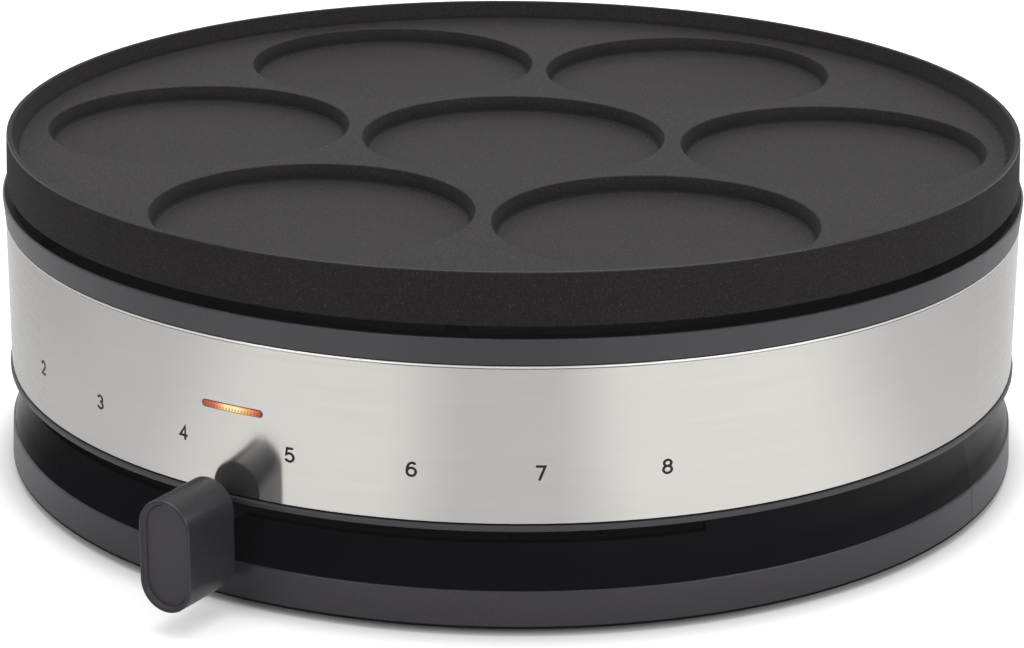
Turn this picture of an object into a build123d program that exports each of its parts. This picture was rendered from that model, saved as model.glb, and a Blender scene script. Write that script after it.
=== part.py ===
from build123d import *
from math import atan2, cos, degrees, radians, sin, sqrt
import os

# Electric crepe maker with a lift-off plate of seven round pockets.
# Millimetres. The origin is where the body's axis meets the table, +Z is up, the front looks along -Y.
# A bearing is counted from the front, positive towards +X (to the right as the cook sees it).

# ---------------------------------------------------------------- driving dimensions
# griddle plate
pocket_radius = 55.9            # at the pocket's upper edge
pocket_count = 6                # round the one in the middle
pocket_web = 5.8                # metal left between neighbouring pockets
pocket_depth = 5.75
pocket_slope = 2.3              # how far the pocket's wall leans in
pocket_foot_fillet = 1.6
pocket_shoulder_fillet = 0.7
pocket_bearing = 113.7          # of the first outer pocket
pocket_margin = 7.0             # from the outer pockets to the rim's foot
rim_slope = 2.6
rim_width = 1.9
rim_height = 7.15               # rim's top above the cooking surface
rim_foot_fillet = 1.5
rim_top_fillet = 0.6
plate_height = 18.4             # skirt's lower edge to the rim's top
plate_thickness = 5.85          # between pockets
plate_draft = 0.6               # the skirt widens downwards
pocket_floor_thickness = 4.6
skirt_thickness = 4.2

# outside of the body, from the table up
foot_height = 2.5               # table to the base ring
base_ring_height = 13.1
neck_height = 20.9
lip_height = 2.1
band_seat_height = 0.7          # dark line under the band
band_height = 54.0
band_thickness = 0.6
band_bead_height = 0.9          # rolled bead along the band's upper edge, over a fine groove
band_groove_height = 0.25
band_groove_depth = 0.12
collar_groove = 0.4             # dark line over the band
collar_height = 9.0
plate_gap = 3.4                 # dark gap under the plate

# how far each ring stands out from the band
plate_inset = 1.4
collar_foot_proud = 0.1
collar_top_proud = 0.9
lip_proud = 0.6
ring_top_proud = 0.4
ring_foot_proud = 1.1
neck_foot_inset = 0.1
neck_lean = 4.8                 # the neck leans in on its way up
collar_edge_fillet = 0.4
band_edge_fillet = 0.2
small_edge_fillet = 0.5

# walls and flanges
housing_wall = 4.0
neck_wall = 3.0
ring_wall = 3.0
collar_wall = 3.0
collar_rim = 0.7                # flat top of the collar, which then slopes down inside
collar_scoop = 3.2
flange_thickness = 3.0
flange_width = 17.0
collar_ledge_thickness = 2.3
collar_ledge_width = 16.0
pan_thickness = 1.0
pan_depth = 5.0
cover_thickness = 2.5
seam_gap = 0.3                  # between the two halves of the base ring, and the band's ends

# clearances
slip_clearance = 0.1            # between fixed pieces that slide together
socket_clearance = 0.15
running_clearance = 0.05        # shaft in its bush, radial
soft_clearance = 0.3            # a hot or moving piece near its neighbour

# screws
screw_radius = 1.6
screw_head_radius = 3.4
screw_head_height = 2.2
screw_boss_radius = 4.6
post_radius = 5.6
housing_screw_bearings = (65, 115, 165, -165, -115, -65)
ring_screw_count = 6
cover_screw_count = 8
ring_screw_gap = 180             # bearing where the gland takes a ring screw's place
pan_screw_count = 6
housing_screw_grip = 12.0       # thread in the housing
pan_screw_length = 14.0
small_screw_radius = 1.2
small_screw_head_radius = 2.4
small_screw_head_height = 1.4
small_screw_grip = 7.2          # thread in the shaft's end
recess_span = 3.2               # cross recess in the heads
recess_width = 0.8
recess_depth = 1.1
small_recess_span = 2.6
small_recess_depth = 0.7

# heating
tube_radius = 4.0
inner_ring_radius = 62.0
tube_leg_offset = 15.0
tube_turn_radius = 18.0
tube_drop_radius = 12.0
cold_end_length = 12.0          # below the pan
terminal_radius = 1.3
terminal_length = 9.0
saddle_bearings = (-115, -40, 40, 115)
saddle_width = 7.0
saddle_length = 14.0
rest_radius = 4.0
rest_count = 6
rest_spigot_radius = 2.0

# thermostat and its lever
thermostat_radius = 22.0
thermostat_height = 19.0
thermostat_edge_fillet = 2.0
thermostat_roof = 3.9           # over the shaft
thermostat_top_drop = 27.0      # below the pan
stem_radius = 3.0
bracket_thickness = 1.5
bracket_half_span = 34.0
bracket_foot = 14.0
bracket_width = 24.0
bracket_screw_length = 5.5      # below the pan's floor
shaft_radius = 3.0
lever_hub_radius = 10.0
lever_screw_head_radius = 4.8
lever_width = 14.0
lever_thickness = 2.5
lever_drop = 1.7                # arm's top below the lip
lever_slot_clearance = 1.3
lever_rest_bearing = -1.3
lever_swing = 45.0              # each way from the front
lever_slot_margin = 5.0         # degrees past the swing at each end
knob_width = 20.1
knob_height = 39.2
knob_depth = 25.0
knob_gap = 8.1                  # band to the knob's back
knob_centre_drop = 8.9          # knob's middle below the lip
knob_edge_fillet = 0.7
knob_face_border = 2.0          # rim and bevel round the sunk face
knob_bevel_width = 0.6
knob_bevel_depth = 1.7
knob_bevel_fillet = 0.3
knob_face_recess = 3.0
knob_face_thickness = 1.3
knob_face_clearance = 0.1
knob_face_fillet = 0.2
lever_bite = 15.0               # arm inside the knob

# indicator in the band
indicator_length = 24.0
indicator_height = 2.7
indicator_rise = 30.1           # above the band's lower edge
lens_depth = 9.0
lens_proud = 0.15
lens_flange_margin = 2.5
lens_flange_thickness = 1.5
lamp_radius = 2.6
lamp_length = 20.0
lamp_end_fillet = 0.9
lamp_holder_depth = 12.0
lamp_holder_height = 9.0
lamp_holder_margin = 3.5        # beyond the lens at each end

# supply side
gland_height = 10.4             # gland's axis above the base ring
gland_radius = 6.0
gland_bore_radius = 3.7
gland_flange_radius = 8.6
gland_flange_thickness = 2.5
gland_pad_radius = 9.2
gland_inner_length = 22.0
gland_nut_radius = 8.4
gland_nut_thickness = 4.0
terminal_block_size = (42.0, 18.0, 15.0)
terminal_block_distance = 112.0
terminal_screw_pitch = 13.0
terminal_block_fillet = 1.0
lead_radius = 1.3
lead_bend = 7.0
fuse_radius = 2.2
fuse_length = 14.0
fuse_distance = 88.0
fuse_clip_width = 8.0
earth_lug_size = (9.0, 16.0, 1.0)
earth_lug_fillet = 3.0
earth_tab_width = 6.0
earth_lug_inset = 26.0          # inside the pan's edge

# underside
foot_ring_width = 6.0
foot_ring_inset = 16.0          # inside the cover's edge
vent_count = 24
vent_length = 30.0
vent_width = 4.0
vent_circle = 105.0

# ---------------------------------------------------------------- sizes that follow
pocket_circle = 2 * pocket_radius + pocket_web
rim_foot_radius = pocket_circle + pocket_radius + pocket_margin
plate_radius = rim_foot_radius + rim_slope + rim_width
plate_foot_radius = plate_radius + plate_draft
skirt_inner_radius = plate_foot_radius - skirt_thickness
band_radius = plate_radius + plate_inset
band_inner_radius = band_radius - band_thickness
housing_radius = band_inner_radius - slip_clearance
housing_inner_radius = housing_radius - housing_wall
lip_radius = band_radius + lip_proud
ring_top_radius = band_radius + ring_top_proud
ring_foot_radius = band_radius + ring_foot_proud
ring_inner_radius = ring_top_radius - ring_wall
neck_foot_radius = band_radius - neck_foot_inset
neck_top_radius = neck_foot_radius - neck_lean
collar_foot_radius = band_radius + collar_foot_proud
collar_top_radius = band_radius + collar_top_proud
collar_inner_radius = collar_foot_radius - collar_wall

ring_bottom = foot_height
ring_top = ring_bottom + base_ring_height
neck_top = ring_top + neck_height
lip_top = neck_top + lip_height
band_bottom = lip_top + band_seat_height
band_top = band_bottom + band_height
housing_top = band_top + collar_groove
collar_top = housing_top + collar_height
ledge_top = housing_top + collar_ledge_thickness
plate_bottom = collar_top + plate_gap
plate_top = plate_bottom + plate_height
plate_surface = plate_top - rim_height
plate_underside = plate_surface - plate_thickness
pocket_floor = plate_surface - pocket_depth
pocket_underside = pocket_floor - pocket_floor_thickness
cover_bottom = ring_bottom + ring_wall / 2
cover_top = cover_bottom + cover_thickness
ring_flange_bottom = ring_top - flange_thickness
neck_flange_top = ring_top + flange_thickness
housing_flange_top = neck_top + flange_thickness
pan_flange_top = ledge_top + pan_thickness
pan_floor_top = pan_flange_top - pan_depth
pan_floor_bottom = pan_floor_top - pan_thickness

flange_inner_radius = ring_inner_radius - flange_width
screw_circle = flange_inner_radius + post_radius
ring_screw_circle = flange_inner_radius + flange_width / 2
cover_radius = ring_inner_radius - socket_clearance
cover_screw_circle = cover_radius - screw_boss_radius
ledge_inner_radius = collar_inner_radius - collar_ledge_width
pan_screw_circle = housing_inner_radius - screw_boss_radius + socket_clearance
pan_radius = collar_inner_radius - socket_clearance
pan_floor_radius = ledge_inner_radius - socket_clearance - pan_thickness
earth_lug_distance = pan_floor_radius - earth_lug_inset

tube_level = pocket_underside - soft_clearance - tube_radius
outer_ring_radius = pocket_circle
cold_end_bottom = pan_floor_bottom - cold_end_length
rest_circle = skirt_inner_radius - 2 * soft_clearance - rest_radius
thermostat_top = pan_floor_bottom - thermostat_top_drop
thermostat_bottom = thermostat_top - thermostat_height
shaft_hole_top = thermostat_top - thermostat_roof
bracket_foot_centre = bracket_half_span + bracket_foot / 2
lever_top = neck_top - lever_drop
lever_bottom = lever_top - lever_thickness
knob_level = neck_top - knob_centre_drop
knob_back = band_radius + knob_gap
knob_front = knob_back + knob_depth
indicator_level = band_bottom + indicator_rise
window_cut = 3 * housing_wall   # deep enough for the curved wall
gland_level = ring_top + gland_height
gland_pad_face = neck_foot_radius + soft_clearance
gland_pad_back = neck_foot_radius - 3 * neck_wall


def turned(bearing):
    """The plane of the table turned so that its -Y looks along the bearing."""
    return Plane.XY.rotated((0, 0, bearing))


def upright(bearing):
    """An upright plane through the axis: local X runs outwards along the bearing, local Y up."""
    angle = radians(bearing - 90)
    return Plane(origin=(0, 0, 0), x_dir=(cos(angle), sin(angle), 0), z_dir=(sin(angle), -cos(angle), 0))


def facing_front(distance):
    """An upright plane square to -Y at this distance in front of the axis: local X right, local Y up."""
    return Plane(origin=(0, -distance, 0), x_dir=(1, 0, 0), z_dir=(0, -1, 0))


def around(radius, bearings):
    """Places on a circle at the bearings."""
    return [(radius * sin(radians(b)), -radius * cos(radians(b))) for b in bearings]


def evenly(count, first_bearing):
    return [first_bearing + step * 360 / count for step in range(count)]


def circles_at(builder, level):
    """The round edges that lie at one height."""
    return builder.edges().filter_by(GeomType.CIRCLE).filter_by(lambda e: abs(e.arc_center.Z - level) < 0.01
                                                               and abs(e.normal().Z) > 0.99)


def of_radius(edges, radius):
    return edges.filter_by(lambda e: abs(e.radius - radius) < 0.01)


def revolved_ring(points):
    """A closed half section of (radius, height) points, turned about the axis."""
    with BuildSketch(upright(90)) as section:
        with BuildLine():
            Polyline(*points, close=True)
        make_face()
    revolve(section.sketch, axis=Axis.Z)


def recess(places, level, span, cross_width, depth):
    """A driver's recess cut into screw heads: a cross, or one slot where the cross width is the slot's own."""
    with BuildSketch(Plane.XY.offset(level)) as section:
        with Locations(*places):
            Rectangle(span, recess_width)
            Rectangle(recess_width, cross_width)
    extrude(section.sketch, amount=depth, mode=Mode.SUBTRACT)


def finish(builder, name):
    builder.part.label = name
    export_step(builder.part, f"parts/{name}.step")
    print(f"{name}: {len(builder.part.solids())} solids, {builder.part.volume:.0f} mm3")


os.makedirs("parts", exist_ok=True)

outer_pocket_bearings = evenly(pocket_count, pocket_bearing)
pocket_places = [(0, 0)] + around(pocket_circle, outer_pocket_bearings)
rest_bearings = evenly(rest_count, pocket_bearing + 180 / rest_count)
pan_screw_bearings = evenly(pan_screw_count, pocket_bearing)
ring_screw_bearings = evenly(ring_screw_count, 0)
neck_boss_bearings = [b for b in ring_screw_bearings if b != ring_screw_gap]
cover_screw_bearings = evenly(cover_screw_count, 180 / cover_screw_count)
bracket_screw_places = [(-bracket_foot_centre, 0), (bracket_foot_centre, 0)]

# ---------------------------------------------------------------- griddle plate
with BuildPart() as griddle_plate:
    revolved_ring([
        (0, plate_underside),
        (skirt_inner_radius, plate_underside),
        (skirt_inner_radius, plate_bottom),
        (plate_foot_radius, plate_bottom),
        (plate_radius, plate_top),
        (plate_radius - rim_width, plate_top),
        (rim_foot_radius, plate_surface),
        (0, plate_surface),
    ])
    # each pocket is backed by a round boss underneath
    with BuildSketch(Plane.XY.offset(pocket_underside)):
        with Locations(*pocket_places):
            Circle(pocket_radius - pocket_slope + pocket_floor_thickness)
    extrude(amount=plate_underside - pocket_underside)
    with Locations(*[(x, y, pocket_floor) for x, y in pocket_places]):
        Cone(pocket_radius - pocket_slope, pocket_radius, pocket_depth,
             align=(Align.CENTER, Align.CENTER, Align.MIN), mode=Mode.SUBTRACT)
    fillet(of_radius(circles_at(griddle_plate, pocket_floor), pocket_radius - pocket_slope), pocket_foot_fillet)
    fillet(of_radius(circles_at(griddle_plate, plate_surface), pocket_radius), pocket_shoulder_fillet)
    fillet(of_radius(circles_at(griddle_plate, plate_surface), rim_foot_radius), rim_foot_fillet)
    fillet(circles_at(griddle_plate, plate_top), rim_top_fillet)
    fillet(of_radius(circles_at(griddle_plate, plate_bottom), plate_foot_radius), rim_top_fillet)
finish(griddle_plate, "griddle_plate")

# ---------------------------------------------------------------- collar and what it carries
with BuildPart() as collar_ring:
    revolved_ring([
        (ledge_inner_radius, housing_top),
        (collar_foot_radius, housing_top),
        (collar_top_radius, collar_top),
        (collar_top_radius - collar_rim, collar_top),
        (collar_inner_radius, collar_top - collar_scoop),
        (collar_inner_radius, ledge_top),
        (ledge_inner_radius, ledge_top),
    ])
    fillet(of_radius(circles_at(collar_ring, collar_top), collar_top_radius), collar_edge_fillet)
    with BuildSketch(Plane.XY.offset(ledge_top)):
        with Locations(*around(pan_screw_circle, pan_screw_bearings)):
            Circle(screw_radius + slip_clearance)
        with Locations(*around(rest_circle, rest_bearings)):
            Circle(rest_spigot_radius + slip_clearance)
    extrude(amount=-collar_ledge_thickness, mode=Mode.SUBTRACT)
finish(collar_ring, "collar_ring")


def fillet_centre(ring_radius):
    """Centre of the arc that leads a tube's leg into its ring, on the right side."""
    reach = ring_radius - tube_turn_radius
    across = tube_leg_offset + tube_turn_radius
    return Vector(across, sqrt(reach ** 2 - across ** 2))


def leg_drop_distance(ring_radius):
    """Where the tube's leg has turned straight down, behind the axis."""
    return fillet_centre(ring_radius).Y - 2 * tube_drop_radius


cold_end_places = [(side * tube_leg_offset, leg_drop_distance(ring))
                   for ring in (outer_ring_radius, inner_ring_radius) for side in (-1, 1)]

with BuildPart() as reflector_pan:
    revolved_ring([
        (0, pan_floor_bottom),
        (pan_floor_radius, pan_floor_bottom),
        (pan_floor_radius + pan_thickness, ledge_top),
        (pan_radius, ledge_top),
        (pan_radius, pan_flange_top),
        (pan_floor_radius, pan_flange_top),
        (pan_floor_radius - pan_thickness, pan_floor_top),
        (0, pan_floor_top),
    ])
    with BuildSketch(Plane.XY.offset(pan_flange_top)):
        with Locations(*around(pan_screw_circle, pan_screw_bearings)):
            Circle(screw_radius + slip_clearance)
        with Locations(*around(rest_circle, rest_bearings)):
            Circle(rest_spigot_radius + slip_clearance)
        Circle(stem_radius + soft_clearance)
        with Locations(*cold_end_places):
            Circle(tube_radius + soft_clearance)
        with Locations(*bracket_screw_places):
            Circle(small_screw_radius + slip_clearance)
    extrude(amount=pan_floor_bottom - pan_flange_top, mode=Mode.SUBTRACT)
finish(reflector_pan, "reflector_pan")

with BuildPart() as plate_rests:
    with BuildSketch(Plane.XY.offset(pan_flange_top)):
        with Locations(*around(rest_circle, rest_bearings)):
            Circle(rest_radius)
    extrude(amount=plate_underside - pan_flange_top)
    with BuildSketch(Plane.XY.offset(housing_top)):
        with Locations(*around(rest_circle, rest_bearings)):
            Circle(rest_spigot_radius)
    extrude(amount=pan_flange_top - housing_top)
finish(plate_rests, "plate_rests")

with BuildPart() as pan_screws:
    with BuildSketch(Plane.XY.offset(pan_flange_top)):
        with Locations(*around(pan_screw_circle, pan_screw_bearings)):
            Circle(screw_head_radius)
    extrude(amount=screw_head_height)
    with BuildSketch(Plane.XY.offset(pan_flange_top)):
        with Locations(*around(pan_screw_circle, pan_screw_bearings)):
            Circle(screw_radius)
    extrude(amount=-pan_screw_length)
    recess(around(pan_screw_circle, pan_screw_bearings), pan_flange_top + screw_head_height,
           recess_span, recess_span, -recess_depth)
finish(pan_screws, "pan_screws")


def heating_tube(ring_radius):
    """A ring open at the rear whose two legs run inwards and turn down through the pan."""
    centre = fillet_centre(ring_radius)
    lean = atan2(centre.Y, centre.X)
    half = (lean + radians(180)) / 2
    drop_y = leg_drop_distance(ring_radius)
    bend_y = drop_y + tube_drop_radius
    bend_mid = tube_drop_radius * sin(radians(45))
    turn = [Vector(tube_leg_offset, centre.Y),
            centre + Vector(tube_turn_radius * cos(half), tube_turn_radius * sin(half)),
            Vector(ring_radius * cos(lean), ring_radius * sin(lean))]
    ends = {}
    for side in (1, -1):
        ends[side] = {
            "foot": (side * tube_leg_offset, drop_y, cold_end_bottom),
            "knee": (side * tube_leg_offset, drop_y, tube_level - tube_drop_radius),
            "bend": (side * tube_leg_offset, bend_y - bend_mid, tube_level - tube_drop_radius + bend_mid),
            "leg": (side * tube_leg_offset, bend_y, tube_level),
            "turn": [(side * p.X, p.Y, tube_level) for p in turn],
        }
    right, left = ends[1], ends[-1]
    with BuildLine() as route:
        Line(right["foot"], right["knee"])
        ThreePointArc(right["knee"], right["bend"], right["leg"])
        Line(right["leg"], right["turn"][0])
        ThreePointArc(*right["turn"])
        ThreePointArc(right["turn"][2], (0, -ring_radius, tube_level), left["turn"][2])
        ThreePointArc(*reversed(left["turn"]))
        Line(left["turn"][0], left["leg"])
        ThreePointArc(left["leg"], left["bend"], left["knee"])
        Line(left["knee"], left["foot"])
    with BuildSketch(route.line ^ 0) as section:
        Circle(tube_radius)
    sweep(section.sketch, path=route.line)


with BuildPart() as heating_tube_outer:
    heating_tube(outer_ring_radius)
finish(heating_tube_outer, "heating_tube_outer")

with BuildPart() as heating_tube_inner:
    heating_tube(inner_ring_radius)
finish(heating_tube_inner, "heating_tube_inner")

with BuildPart() as tube_saddles:
    for ring in (outer_ring_radius, inner_ring_radius):
        for bearing in saddle_bearings:
            with BuildSketch(turned(bearing).offset(pan_floor_top)):
                with Locations((0, -ring)):
                    Rectangle(saddle_width, saddle_length)
            extrude(amount=tube_level - pan_floor_top)
        with Locations((0, 0, tube_level)):
            Torus(ring, tube_radius + slip_clearance, mode=Mode.SUBTRACT)
finish(tube_saddles, "tube_saddles")

with BuildPart() as tube_terminals:
    with BuildSketch(Plane.XY.offset(cold_end_bottom)):
        with Locations(*cold_end_places):
            Circle(terminal_radius)
    extrude(amount=-terminal_length)
finish(tube_terminals, "tube_terminals")

# ---------------------------------------------------------------- housing, band and indicator
with BuildPart() as housing_shell:
    revolved_ring([
        (flange_inner_radius, neck_top),
        (lip_radius, neck_top),
        (lip_radius, lip_top),
        (band_inner_radius + band_thickness / 2, lip_top),
        (band_inner_radius + band_thickness / 2, band_bottom),
        (housing_radius, band_bottom),
        (housing_radius, housing_top),
        (housing_inner_radius, housing_top),
        (housing_inner_radius, housing_flange_top),
        (flange_inner_radius, housing_flange_top),
    ])
    fillet(of_radius(circles_at(housing_shell, lip_top), lip_radius), small_edge_fillet)
    fillet(of_radius(circles_at(housing_shell, neck_top), lip_radius), small_edge_fillet)
    # bosses for the screws that come up through the neck
    with BuildSketch(Plane.XY.offset(housing_flange_top)):
        with Locations(*around(screw_circle, housing_screw_bearings)):
            Circle(screw_boss_radius)
    extrude(amount=housing_screw_grip)
    # bosses that the pan's screws bite into
    with BuildSketch(Plane.XY.offset(housing_top)):
        with Locations(*around(pan_screw_circle, pan_screw_bearings)):
            Circle(screw_boss_radius)
    extrude(amount=-pan_screw_length)
    with BuildSketch(Plane.XY.offset(neck_top)):
        with Locations(*around(screw_circle, housing_screw_bearings)):
            Circle(screw_radius)
    extrude(amount=flange_thickness + housing_screw_grip, mode=Mode.SUBTRACT)
    with BuildSketch(Plane.XY.offset(housing_top)):
        with Locations(*around(pan_screw_circle, pan_screw_bearings)):
            Circle(screw_radius)
    extrude(amount=-pan_screw_length, mode=Mode.SUBTRACT)
    # window for the indicator
    with BuildSketch(facing_front(housing_radius + housing_wall)):
        with Locations((0, indicator_level)):
            SlotOverall(indicator_length, indicator_height)
    extrude(amount=-window_cut, mode=Mode.SUBTRACT)
finish(housing_shell, "housing_shell")

with BuildPart() as steel_band:
    revolved_ring([
        (band_inner_radius, band_bottom),
        (band_radius, band_bottom),
        (band_radius, band_top - band_bead_height - band_groove_height),
        (band_radius - band_groove_depth, band_top - band_bead_height - band_groove_height / 2),
        (band_radius, band_top - band_bead_height),
        (band_radius, band_top),
        (band_inner_radius, band_top),
    ])
    fillet(of_radius(circles_at(steel_band, band_top), band_radius), band_edge_fillet)
    with BuildSketch(facing_front(housing_radius + housing_wall)):
        with Locations((0, indicator_level)):
            SlotOverall(indicator_length, indicator_height)
    extrude(amount=-window_cut, mode=Mode.SUBTRACT)
    # the band's ends meet at the rear
    with BuildSketch(Plane.XY.offset(band_bottom)):
        with Locations((0, band_radius)):
            Rectangle(seam_gap, window_cut)
    extrude(amount=band_height, mode=Mode.SUBTRACT)
finish(steel_band, "steel_band")

lens_length = indicator_length - 2 * socket_clearance
lens_height = indicator_height - 2 * socket_clearance
lens_back = band_radius - lens_depth
lens_flange_front = housing_inner_radius - soft_clearance - indicator_length ** 2 / (8 * housing_inner_radius)

with BuildPart() as indicator_lens:
    with BuildSketch(facing_front(lens_back)):
        with Locations((0, indicator_level)):
            SlotOverall(lens_length, lens_height)
    extrude(amount=2 * lens_depth)
    with BuildSketch(facing_front(lens_flange_front - lens_flange_thickness)):
        with Locations((0, indicator_level)):
            SlotOverall(indicator_length + lens_flange_margin, indicator_height + lens_flange_margin)
    extrude(amount=lens_flange_thickness)
    # the window follows the band's curve and stands a touch proud
    with BuildSketch(Plane.XY.offset(indicator_level - indicator_height * 2)):
        Circle(band_radius + lens_proud)
    extrude(amount=indicator_height * 4, mode=Mode.INTERSECT)
finish(indicator_lens, "indicator_lens")

holder_front = lens_back - slip_clearance
holder_width = indicator_length + 2 * lamp_holder_margin
with BuildPart() as lamp_holder:
    with BuildSketch(facing_front(holder_front - lamp_holder_depth)):
        with Locations((0, indicator_level)):
            Rectangle(holder_width, lamp_holder_height)
    extrude(amount=lamp_holder_depth)
    with BuildSketch(facing_front(holder_front)):
        with Locations((0, indicator_level)):
            Rectangle(lamp_length + 2 * soft_clearance, 2 * (lamp_radius + soft_clearance))
    extrude(amount=-2 * (lamp_radius + soft_clearance), mode=Mode.SUBTRACT)
    # a rib on each side reaches the housing's wall
    with BuildSketch(facing_front(holder_front)):
        with Locations(*[(side * (holder_width - bracket_thickness) / 2, indicator_level) for side in (-1, 1)]):
            Rectangle(bracket_thickness, lamp_holder_height)
    extrude(until=Until.NEXT, target=housing_shell.part)
finish(lamp_holder, "lamp_holder")

with BuildPart() as indicator_lamp:
    with BuildSketch(Plane.YZ.offset(-lamp_length / 2)):
        with Locations((-(holder_front - lamp_radius - soft_clearance), indicator_level)):
            Circle(lamp_radius)
    extrude(amount=lamp_length)
    fillet(indicator_lamp.edges().filter_by(GeomType.CIRCLE), lamp_end_fillet)
finish(indicator_lamp, "indicator_lamp")

# ---------------------------------------------------------------- neck and base ring
slot_bottom = lever_bottom - lever_slot_clearance
slot_half_angle = lever_swing + lever_slot_margin
slot_cut = neck_lean + 4 * neck_wall

with BuildPart() as neck_ring:
    revolved_ring([
        (flange_inner_radius, ring_top),
        (neck_foot_radius, ring_top),
        (neck_top_radius, neck_top),
        (neck_top_radius - neck_wall, neck_top),
        (neck_foot_radius - neck_wall, neck_flange_top),
        (flange_inner_radius, neck_flange_top),
    ])
    with BuildSketch(Plane.XY.offset(ring_top)):
        with Locations(*around(screw_circle, housing_screw_bearings)):
            Circle(post_radius)
    extrude(amount=neck_height)
    with BuildSketch(Plane.XY.offset(ring_top)):
        with Locations(*around(ring_screw_circle, neck_boss_bearings)):
            Circle(screw_boss_radius)
    extrude(amount=2 * flange_thickness)
    # flat pad for the cord gland
    with BuildSketch(Plane.XZ.offset(-gland_pad_face)):
        with Locations((0, gland_level)):
            Circle(gland_pad_radius)
    extrude(amount=gland_pad_face - gland_pad_back)
    with BuildSketch(Plane.XZ.offset(-gland_pad_face)):
        with Locations((0, gland_level)):
            Circle(gland_radius + slip_clearance)
    extrude(amount=gland_inner_length, mode=Mode.SUBTRACT)
    # slot that the lever swings in, closed by the lip above
    with BuildSketch(upright(-slot_half_angle)):
        with Locations(((neck_foot_radius + neck_top_radius) / 2, (slot_bottom + neck_top) / 2)):
            Rectangle(slot_cut, neck_top - slot_bottom)
    revolve(axis=Axis.Z, revolution_arc=2 * slot_half_angle, mode=Mode.SUBTRACT)
    with BuildSketch(Plane.XY.offset(ring_top)):
        with Locations(*around(screw_circle, housing_screw_bearings)):
            Circle(screw_head_radius + slip_clearance)
    extrude(amount=neck_height / 2, mode=Mode.SUBTRACT)
    with BuildSketch(Plane.XY.offset(ring_top)):
        with Locations(*around(screw_circle, housing_screw_bearings)):
            Circle(screw_radius + slip_clearance)
        with Locations(*around(ring_screw_circle, ring_screw_bearings)):
            Circle(screw_radius)
    extrude(amount=neck_height, mode=Mode.SUBTRACT)
finish(neck_ring, "neck_ring")

with BuildPart() as housing_screws:
    with BuildSketch(Plane.XY.offset(ring_top + neck_height / 2)):
        with Locations(*around(screw_circle, housing_screw_bearings)):
            Circle(screw_head_radius)
    extrude(amount=-screw_head_height)
    with BuildSketch(Plane.XY.offset(ring_top + neck_height / 2)):
        with Locations(*around(screw_circle, housing_screw_bearings)):
            Circle(screw_radius)
    extrude(amount=neck_height / 2 + housing_screw_grip)
    recess(around(screw_circle, housing_screw_bearings), ring_top + neck_height / 2 - screw_head_height,
           recess_span, recess_span, recess_depth)
finish(housing_screws, "housing_screws")


def base_ring_half(middle_bearing):
    """Half of the base ring, with its seams at a right angle to the middle of the half."""
    with BuildSketch(upright(middle_bearing - 90)) as section:
        with BuildLine():
            Polyline(
                (flange_inner_radius, ring_flange_bottom),
                (ring_inner_radius, ring_flange_bottom),
                (ring_inner_radius, ring_bottom),
                (ring_foot_radius, ring_bottom),
                (ring_top_radius, ring_top),
                (flange_inner_radius, ring_top),
                close=True,
            )
        make_face()
    revolve(section.sketch, axis=Axis.Z, revolution_arc=180)
    # half of the gap at the seams comes off each half
    with BuildSketch(turned(middle_bearing)) as seam:
        Rectangle(3 * ring_foot_radius, seam_gap)
    extrude(seam.sketch, amount=ring_top, mode=Mode.SUBTRACT)


base_ring_halves = {"base_ring_front": 0, "base_ring_rear": 180}
for half_name, middle_bearing in base_ring_halves.items():
    own_cover_screws = [b for b in cover_screw_bearings if cos(radians(b - middle_bearing)) > 0]
    own_ring_screws = [b for b in ring_screw_bearings if cos(radians(b - middle_bearing)) > 0]
    with BuildPart() as base_ring:
        base_ring_half(middle_bearing)
        fillet(of_radius(circles_at(base_ring, ring_top), ring_top_radius), small_edge_fillet)
        fillet(of_radius(circles_at(base_ring, ring_bottom), ring_foot_radius), small_edge_fillet)
        with BuildSketch(Plane.XY.offset(cover_top)):
            with Locations(*around(cover_screw_circle, own_cover_screws)):
                Circle(screw_boss_radius)
        extrude(amount=ring_flange_bottom - cover_top)
        with BuildSketch(Plane.XY.offset(cover_top)):
            with Locations(*around(cover_screw_circle, own_cover_screws)):
                Circle(screw_radius)
        extrude(amount=ring_flange_bottom - cover_top, mode=Mode.SUBTRACT)
        with BuildSketch(Plane.XY.offset(ring_top)):
            with Locations(*around(ring_screw_circle, own_ring_screws)):
                Circle(screw_radius + slip_clearance)
        extrude(amount=-flange_thickness, mode=Mode.SUBTRACT)
    finish(base_ring, half_name)

with BuildPart() as ring_screws:
    with BuildSketch(Plane.XY.offset(ring_flange_bottom)):
        with Locations(*around(ring_screw_circle, ring_screw_bearings)):
            Circle(screw_head_radius)
    extrude(amount=-screw_head_height)
    with BuildSketch(Plane.XY.offset(ring_flange_bottom)):
        with Locations(*around(ring_screw_circle, ring_screw_bearings)):
            Circle(screw_radius)
    extrude(amount=2 * flange_thickness)
    recess(around(ring_screw_circle, ring_screw_bearings), ring_flange_bottom - screw_head_height,
           recess_span, recess_span, recess_depth)
finish(ring_screws, "ring_screws")

# ---------------------------------------------------------------- underside
with BuildPart() as bottom_cover:
    with BuildSketch(Plane.XY.offset(cover_bottom)):
        Circle(cover_radius)
    extrude(amount=cover_thickness)
    with Locations(*[(x, y, cover_bottom) for x, y in around(cover_screw_circle, cover_screw_bearings)]):
        Cone(screw_head_radius, screw_radius + slip_clearance, screw_head_radius - screw_radius,
             align=(Align.CENTER, Align.CENTER, Align.MIN), mode=Mode.SUBTRACT)
    with BuildSketch(Plane.XY.offset(cover_bottom)):
        with Locations(*around(cover_screw_circle, cover_screw_bearings)):
            Circle(screw_radius + slip_clearance)
        with PolarLocations(vent_circle, vent_count):
            SlotOverall(vent_length, vent_width)
    extrude(amount=cover_thickness, mode=Mode.SUBTRACT)
finish(bottom_cover, "bottom_cover")

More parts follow.
